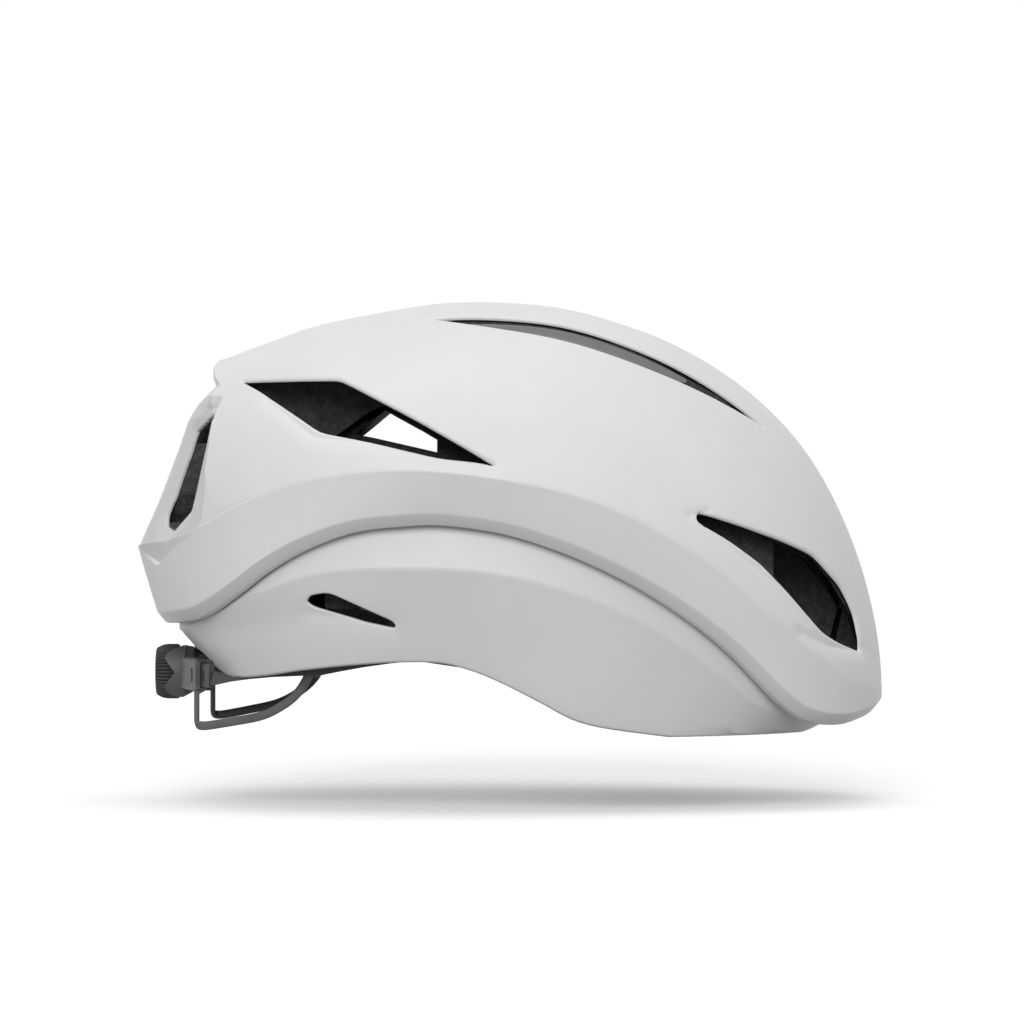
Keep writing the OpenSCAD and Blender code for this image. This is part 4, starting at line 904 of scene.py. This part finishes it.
def half_cone(profile, x0, z0, room, up, count=40):
    """A turned form over or under the dial's axis, flat at the room that it leaves for the racks."""
    rings = []
    for d, r in profile:
        start = math.asin(room / r)
        rings.append([(x0 + d, r * math.cos(a), z0 + up * r * math.sin(a))
                      for a in np.linspace(start, math.pi - start, count)])
    return loft(rings)


def carve(name, node, steps, material, body, angle=32):
    """The CAD node's form, cut by and joined with closed helpers, as a piece of its own."""
    mesh = NODES[node].data.copy()
    bm = bmesh.new()
    bm.from_mesh(mesh)
    bmesh.ops.remove_doubles(bm, verts=bm.verts, dist=1e-6)
    bm.to_mesh(mesh)
    bm.free()
    obj = link(bpy.data.objects.new(name, mesh))
    for k, (kind, helper) in enumerate(steps):
        step = obj.modifiers.new(f"step{k}", "BOOLEAN")
        step.operation, step.solver, step.object = kind, "MANIFOLD", helper
    if steps:
        apply_modifiers(obj)
    for _, helper in steps:
        bpy.data.objects.remove(helper)
    obj.data.materials.clear()
    obj.data.materials.append(material)
    obj.data.polygons.foreach_set("material_index", [0] * len(obj.data.polygons))
    smooth(obj, angle)
    if body:
        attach(obj, body)
    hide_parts(node)
    return obj


def band_x(y, z):
    """How far back the band between the crease and the lip lies at the tail."""
    wide = np.abs(y)
    a, b = (WIDE_X - tail_r(back) * np.maximum(0, 1 - (wide / half) ** bend[3]) ** (1 / bend[2])
            for back, half, bend in ((0, HALF_W, UP_BEND), (TUCK_TAIL, HALF_W - TUCK_SIDE, LIP_BEND)))
    za, zb = rise(CREASE_LAW, a), rise(LIP_LAW, b)
    return mix(a, b, np.clip((za - z) / (za - zb), 0, 1))


# the block behind the panel: its x where it cuts nothing, its back, and how far round the panel it still cuts
BLOCK_IDLE, BLOCK_BACK, BLOCK_ROUND = -165.0, -170.0, 1.5


def behind_panel():
    """The block behind the sunk tail panel's inner face, to keep the foam under the skin."""
    y, z = np.meshgrid(np.linspace(-70, 70, 141), np.linspace(58, 124, 67))
    k = np.arange(y.size).reshape(y.shape)
    y, z = y.ravel(), z.ravel()
    # the painted skin's outer face: the roof where it is this high, else the band under the crease
    xs = np.linspace(-HALF_L + 0.1, -82.4, 160)[:, None]
    under = np.where(np.abs(y) < crease_w(xs), roof(xs, y), -FAR) >= z
    x = np.where(under.any(0), xs[under.argmax(0), 0], TAIL_FROM)
    face, inside, _, _ = at_tail(stack(np.maximum(x, band_x(y, z)), y, z))
    front = stack(np.where(inside > -BLOCK_ROUND, face + SKIN + GLUE, BLOCK_IDLE), y, z)
    rim = np.concatenate([k[0], k[1:, -1], k[-1, -2::-1], k[-2:0:-1, 0]])
    ahead = np.roll(rim, -1)
    faces = [quads_of(k), quads_of(k[:, ::-1] + k.size),
             np.stack([rim, ahead, ahead + k.size, rim + k.size], 1)]
    return helper_solid(np.concatenate([front, stack(BLOCK_BACK, y, z)]), np.concatenate(faces).tolist())


def port_cuts():
    form = PORT_FORMS[0]
    return [("DIFFERENCE", prism(form * [s, 1], "x", -160, -104)) for s in (1, -1)]


# ribs of the brow foam that stand past each other in the slip gap, as (x, z) outlines
RIB_UP = [(122.8, 26), (123.4, 28), (124.8, 34.5), (126.2, 41), (127.3, 46), (134, 46), (131, 26)]
RIB_LOW = [(118, 27), (126.2, 27), (127.9, 34.5), (129.1, 41), (129.9, 45), (121, 45)]
WEB = [(-68, 46.5), (-52, 46.5), (-52, 53), (-68, 53)]
carve("upper_foam", "upper_liner", [("DIFFERENCE", behind_panel())] + port_cuts()
      + [("UNION", prism(RIB_UP, "y", -9, -2.5))], FOAM, "upper_half")
carve("lower_foam", "lower_liner", [("DIFFERENCE", behind_panel())] + port_cuts()
      + [("UNION", prism(RIB_LOW, "y", 2.5, 9))]
      + [("UNION", prism(WEB, "y", s * 70, s * 74)) for s in (1, -1)], FOAM, "lower_half")


def slot_lining(side, sign):
    """The smooth grey strip on the inboard wall of a crown slot."""
    x = np.linspace(-19, 66, 90)
    bow = slot_bow((x - SLOT_START) / SLOT_RUN)
    full = np.sin(np.linspace(0.04, math.pi - 0.04, 90)) ** 0.5
    rows = []
    for v in np.linspace(0, 1, 9):
        y = bow + 0.35 + (2.2 * v ** 1.4 + 0.5 * math.sin(math.pi * v)) * full
        rows.append(np.stack([x, y, roof(x, bow) - 2.5 - 6.5 * v * full - 0.6 * (1 - full)], 1))
    n = len(x)
    points = np.concatenate(rows)
    points[:, 1] *= sign
    quads = quads_of(np.arange(9 * n).reshape(9, n))
    tris = np.concatenate([quads[:, :3], quads[:, [0, 2, 3]]])
    if normals_of(points, tris)[:, 1].mean() * sign < 0:
        tris = tris[:, ::-1]
    obj = object_from(f"slot_lining_{side}", points, tris, LINING, "upper_half")
    wall = obj.modifiers.new("wall", "SOLIDIFY")
    wall.thickness, wall.offset = 0.0008, -1
    apply_modifiers(obj)
    smooth(obj, 40)


slot_lining("left", 1)
slot_lining("right", -1)

# ---------------------------------------------------------------- the fit system

DIAL_Z, DIAL_R, DIAL_BACK, DIAL_FACE, HUB_R = 21.0, 10.5, -126.3, -135.6, 8.6
# side outline of the cover in (x, z): a notch towards the dial between two pointed ears
COVER_FORM = [(-127.9, 20.8), (-131.9, 26.4), (-130.6, 28.6), (-128, 30), (-125.5, 30.9), (-121.8, 30.5),
              (-118.4, 27), (-114.5, 25.2), (-100, 25), (-100, 16), (-116.5, 16), (-119.2, 14.6), (-122.2, 12.8),
              (-125, 11.3), (-128.6, 11.5), (-130.8, 13), (-131.9, 15.6)]
carve("cradle_cover_moulded", "cradle_cover",
      [("UNION", half_cone([(0, 10.4), (3, 10.2), (6, 8.4), (9, 6.2)], -126.2, DIAL_Z, 5.0, up)) for up in (1, -1)]
      + [("INTERSECT", prism(COVER_FORM, "y", -80, 80))], NYLON_GREY, "cradle", 38)


def dial_ring():
    """The grip: rounded ribs along the dial's axis that run out on its face."""
    ribs, deep = 46, 0.8
    n = ribs * 8
    a = np.arange(n) * 2 * math.pi / n
    wave = np.abs(np.cos(a * ribs / 2)) ** 0.7
    profile = [(DIAL_BACK - 0.3, HUB_R + 0.1, 0), (DIAL_BACK - 0.3, 9.6, 0), (DIAL_BACK - 0.5, DIAL_R - 0.5, 0.6),
               (DIAL_BACK - 1.0, DIAL_R, 1), (DIAL_FACE + 4.4, DIAL_R, 1), (DIAL_FACE + 2.6, DIAL_R - 0.25, 1),
               (DIAL_FACE + 1.4, DIAL_R - 0.8, 1), (DIAL_FACE + 0.5, DIAL_R - 1.25, 0.7),
               (DIAL_FACE + 0.1, DIAL_R - 1.6, 0.3), (DIAL_FACE, HUB_R + 0.1, 0), (DIAL_FACE + 4, HUB_R + 0.1, 0)]
    rings = []
    for x, r, cut in profile + profile[:1]:
        r = r - deep * cut * (1 - wave)
        rings.append(stack(x, r * np.cos(a), DIAL_Z + r * np.sin(a)))
    tris = grid_tris(len(rings), n)
    obj = object_from("dial_grip_ribbed", np.concatenate(rings), tris, GRIP, "dial", 50)
    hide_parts("dial_grip")


def eased(v, power):
    return np.sign(v) * np.abs(v) ** power


def ribbon(name, centre, width_dir, wide, thick, material, body):
    """A closed strip with soft edges swept along a path."""
    ring = 20
    a = np.arange(ring) * 2 * math.pi / ring
    cx, sx = eased(np.cos(a), 0.55), eased(np.sin(a), 0.55)
    ahead = np.gradient(centre, axis=0)
    ahead /= np.linalg.norm(ahead, axis=1)[:, None]
    across = width_dir - ahead * np.sum(width_dir * ahead, 1)[:, None]
    across /= np.linalg.norm(across, axis=1)[:, None]
    out = np.cross(ahead, across)
    rings = (centre[:, None] + across[:, None] * cx[None, :, None] * wide / 2
             + out[:, None] * sx[None, :, None] * thick / 2)
    points = np.concatenate([centre[:1], rings.reshape(-1, 3), centre[-1:]])
    obj = object_from(name, points, tube_tris(len(centre), ring), material, body, 60)
    outward(obj.data)
    return obj


def spline(knots, count):
    """A Catmull-Rom curve through the knots, as the CAD's strips follow."""
    p = np.array(knots, float)
    n = len(p) - 1
    t = np.linspace(0, 1, count) * n
    i = np.minimum(n - 1, t.astype(int))
    f = (t - i)[:, None]
    p0, p1, p2, p3 = p[np.maximum(0, i - 1)], p[i], p[i + 1], p[np.minimum(n, i + 2)]
    square, cube = 2 * p0 - 5 * p1 + 4 * p2 - p3, 3 * p1 - p0 - 3 * p2 + p3
    return 0.5 * (2 * p1 + (p2 - p0) * f + square * f ** 2 + cube * f ** 3)


LOOP_X, LOOP_Y, LOOP_W, LOOP_T, LOOP_TOP = -117.11, 46.0, 3.3, 2.0, 15.3
LOOP_KNOTS = [(0.3, 0, 0), (13.1, 5, 2.2), (25.1, 10.5, 4.8), (33.1, 13.5, 8.9), (38.1, 15.2, 13), (41.3, 16, 17.5),
              (43.6, 16.8, 22.6)]


def nape_loop(side, sign):
    """A flat loop: down from the cradle's arm, round a soft corner and forward up to the foam."""
    run = np.array([LOOP_X, LOOP_Y, LOOP_W / 2]) + spline(LOOP_KNOTS, 60)
    drop = stack(LOOP_X, LOOP_Y, np.linspace(LOOP_TOP, LOOP_W / 2, 24))
    line = np.concatenate([drop[:-1], run[1:]])
    # the corner is rounded by pulling its points to a local mean
    for _ in range(6):
        line[1:-1] = np.where((line[1:-1, 2] < 5.5)[:, None] & (line[1:-1, 0] < LOOP_X + 6)[:, None],
                              (line[:-2] + 2 * line[1:-1] + line[2:]) / 4, line[1:-1])
    turn = np.clip((4.5 - (line[:, 2] - (line[:, 0] - LOOP_X))) / 4.5, 0, 1)[:, None]
    way = np.array([0.0, 1, 0]) * (1 - turn) + np.array([0.0, 0, 1]) * turn
    line, way = line * [1, sign, 1], way * [1, sign, 1]
    obj = ribbon(f"nape_loop_{side}_soft", line, way, LOOP_W, LOOP_T, NYLON_LOOP, "cradle")
    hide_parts(f"nape_loop_{side}")


dial_ring()
# what is cut away from under the CAD's bands, in side view (x, z), to make them slimmer
BAND_TRIM = [(-125, 10), (-60, 10), (-60, 19), (-75, 21.6), (-88, 20.9), (-97, 20), (-104, 19), (-112, 17.2),
             (-125, 15)]
for side, sign in (("left", 1), ("right", -1)):
    nape_loop(side, sign)
    band = carve(f"band_{side}_slim", f"band_{side}", [("DIFFERENCE", prism(BAND_TRIM, "y", sign * 20, sign * 120))],
                 NYLON, None, 40)
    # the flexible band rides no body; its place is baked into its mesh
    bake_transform(band)

# ---------------------------------------------------------------- pads on the head space

HEAD_L, HEAD_W, HEAD_TOP, HEAD_Z, HEAD_X = 99.0, 78.0, 135.0, 25.0, 7.0
PAD_T, DOT_ROOM = 6.5, 1.8


def head_spot(a, e, o):
    a, e = np.radians(a), np.radians(e)
    return stack(HEAD_X + (HEAD_L - o) * np.cos(e) * np.cos(a), (HEAD_W - o) * np.cos(e) * np.sin(a),
                 HEAD_Z + (HEAD_TOP - HEAD_Z - o) * np.sin(e))


def path_at(path, t):
    path = np.array(path, float)
    n = len(path) - 1
    i = np.minimum(n - 1, np.floor(t * n).astype(int))
    f = (t * n - i)[..., None]
    return path[i] * (1 - f) + path[i + 1] * f


def pad(name, node, path, wide, mirror=1):
    """A crowned cushion on the head space: pinched sewn rim, a soft crown and a sewn channel."""
    rows, ring = 64, 40
    t = (np.arange(rows) + 0.5) / rows
    c = path_at(path, t)
    d = path_at(path, np.minimum(1, t + 0.02)) - path_at(path, np.maximum(0, t - 0.02))
    q = np.stack([d[:, 0] * np.cos(np.radians(c[:, 1])), d[:, 1]], 1)
    across = np.stack([-q[:, 1], q[:, 0]], 1) / np.linalg.norm(q, axis=1)[:, None]
    end = (1 - np.abs(2 * t - 1) ** 4) ** 0.5
    a = np.arange(ring) * 2 * math.pi / ring
    side, high = eased(np.cos(a), 0.7), (eased(np.sin(a), 0.75) + 1) / 2
    span = side[None, :] * wide / 2 * end[:, None] * 0.62
    az = c[:, 0][:, None] + across[:, 0][:, None] * span / np.cos(np.radians(c[:, 1]))[:, None]
    el = c[:, 1][:, None] + across[:, 1][:, None] * span
    # sewn channels cross the pad
    crown = 0.55 + 0.45 * np.cos(side * math.pi / 2) ** 0.5
    seam = np.ones((rows, ring))
    for place in (0.25, 0.5, 0.75):
        seam -= 0.34 * np.exp(-((t[:, None] - place) / 0.013) ** 2)
    lift = high[None, :] * crown[None, :] * seam * (0.35 + 0.65 * end[:, None])
    points = head_spot(az, el, DOT_ROOM + PAD_T * (0.02 + 0.96 * lift)).reshape(-1, 3)
    caps = points.reshape(rows, ring, 3)[[0, -1]].mean(1)
    points = np.concatenate([caps[:1], points, caps[1:]])
    tris = tube_tris(rows, ring)
    points[:, 1] *= mirror
    if mirror < 0:
        tris = tris[:, ::-1]
    obj = object_from(name, points, tris, FABRIC, "lower_half", 80)
    outward(obj.data)
    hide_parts(node)
    return obj


BROW_PATH = [(-62, 4), (-30, 3), (0, 6), (30, 3), (62, 4)]
RIDGE_PATH = [(0, 34), (0, 60), (0, 86)]
SIDE_PATH = [(32, 52), (64, 61), (115, 62)]
TEMPLE_PATH = [(82, 30), (96, 27), (112, 30)]
pad("brow_cushion", "brow_pad", BROW_PATH, 22)
pad("ridge_cushion", "ridge_pad", RIDGE_PATH, 24)
for side, sign in (("left", 1), ("right", -1)):
    pad(f"side_cushion_{side}", f"side_pad_{side}", SIDE_PATH, 24, mirror=sign)
    pad(f"temple_cushion_{side}", f"temple_pad_{side}", TEMPLE_PATH, 18, mirror=sign)

# ---------------------------------------------------------------- finishes of the kept nodes

FINISH = {
    "slip_anchors": RUBBER, "height_guide": NYLON,
    "hook_dots": HOOK, "cradle_base": NYLON, "click_ring": ACETAL,
    "hanger": NYLON, "dial_core": NYLON, "dial_hub": NYLON, "dial_screw": STEEL,
}
for side in ("left", "right"):
    for stem in ("band_mount", "front_strap_anchor", "rear_strap_anchor", "rack"):
        FINISH[f"{stem}_{side}"] = NYLON
for name, material in FINISH.items():
    slots = NODES[name].material_slots
    if not slots:
        NODES[name].data.materials.append(material)
    for slot in slots:
        slot.material = material
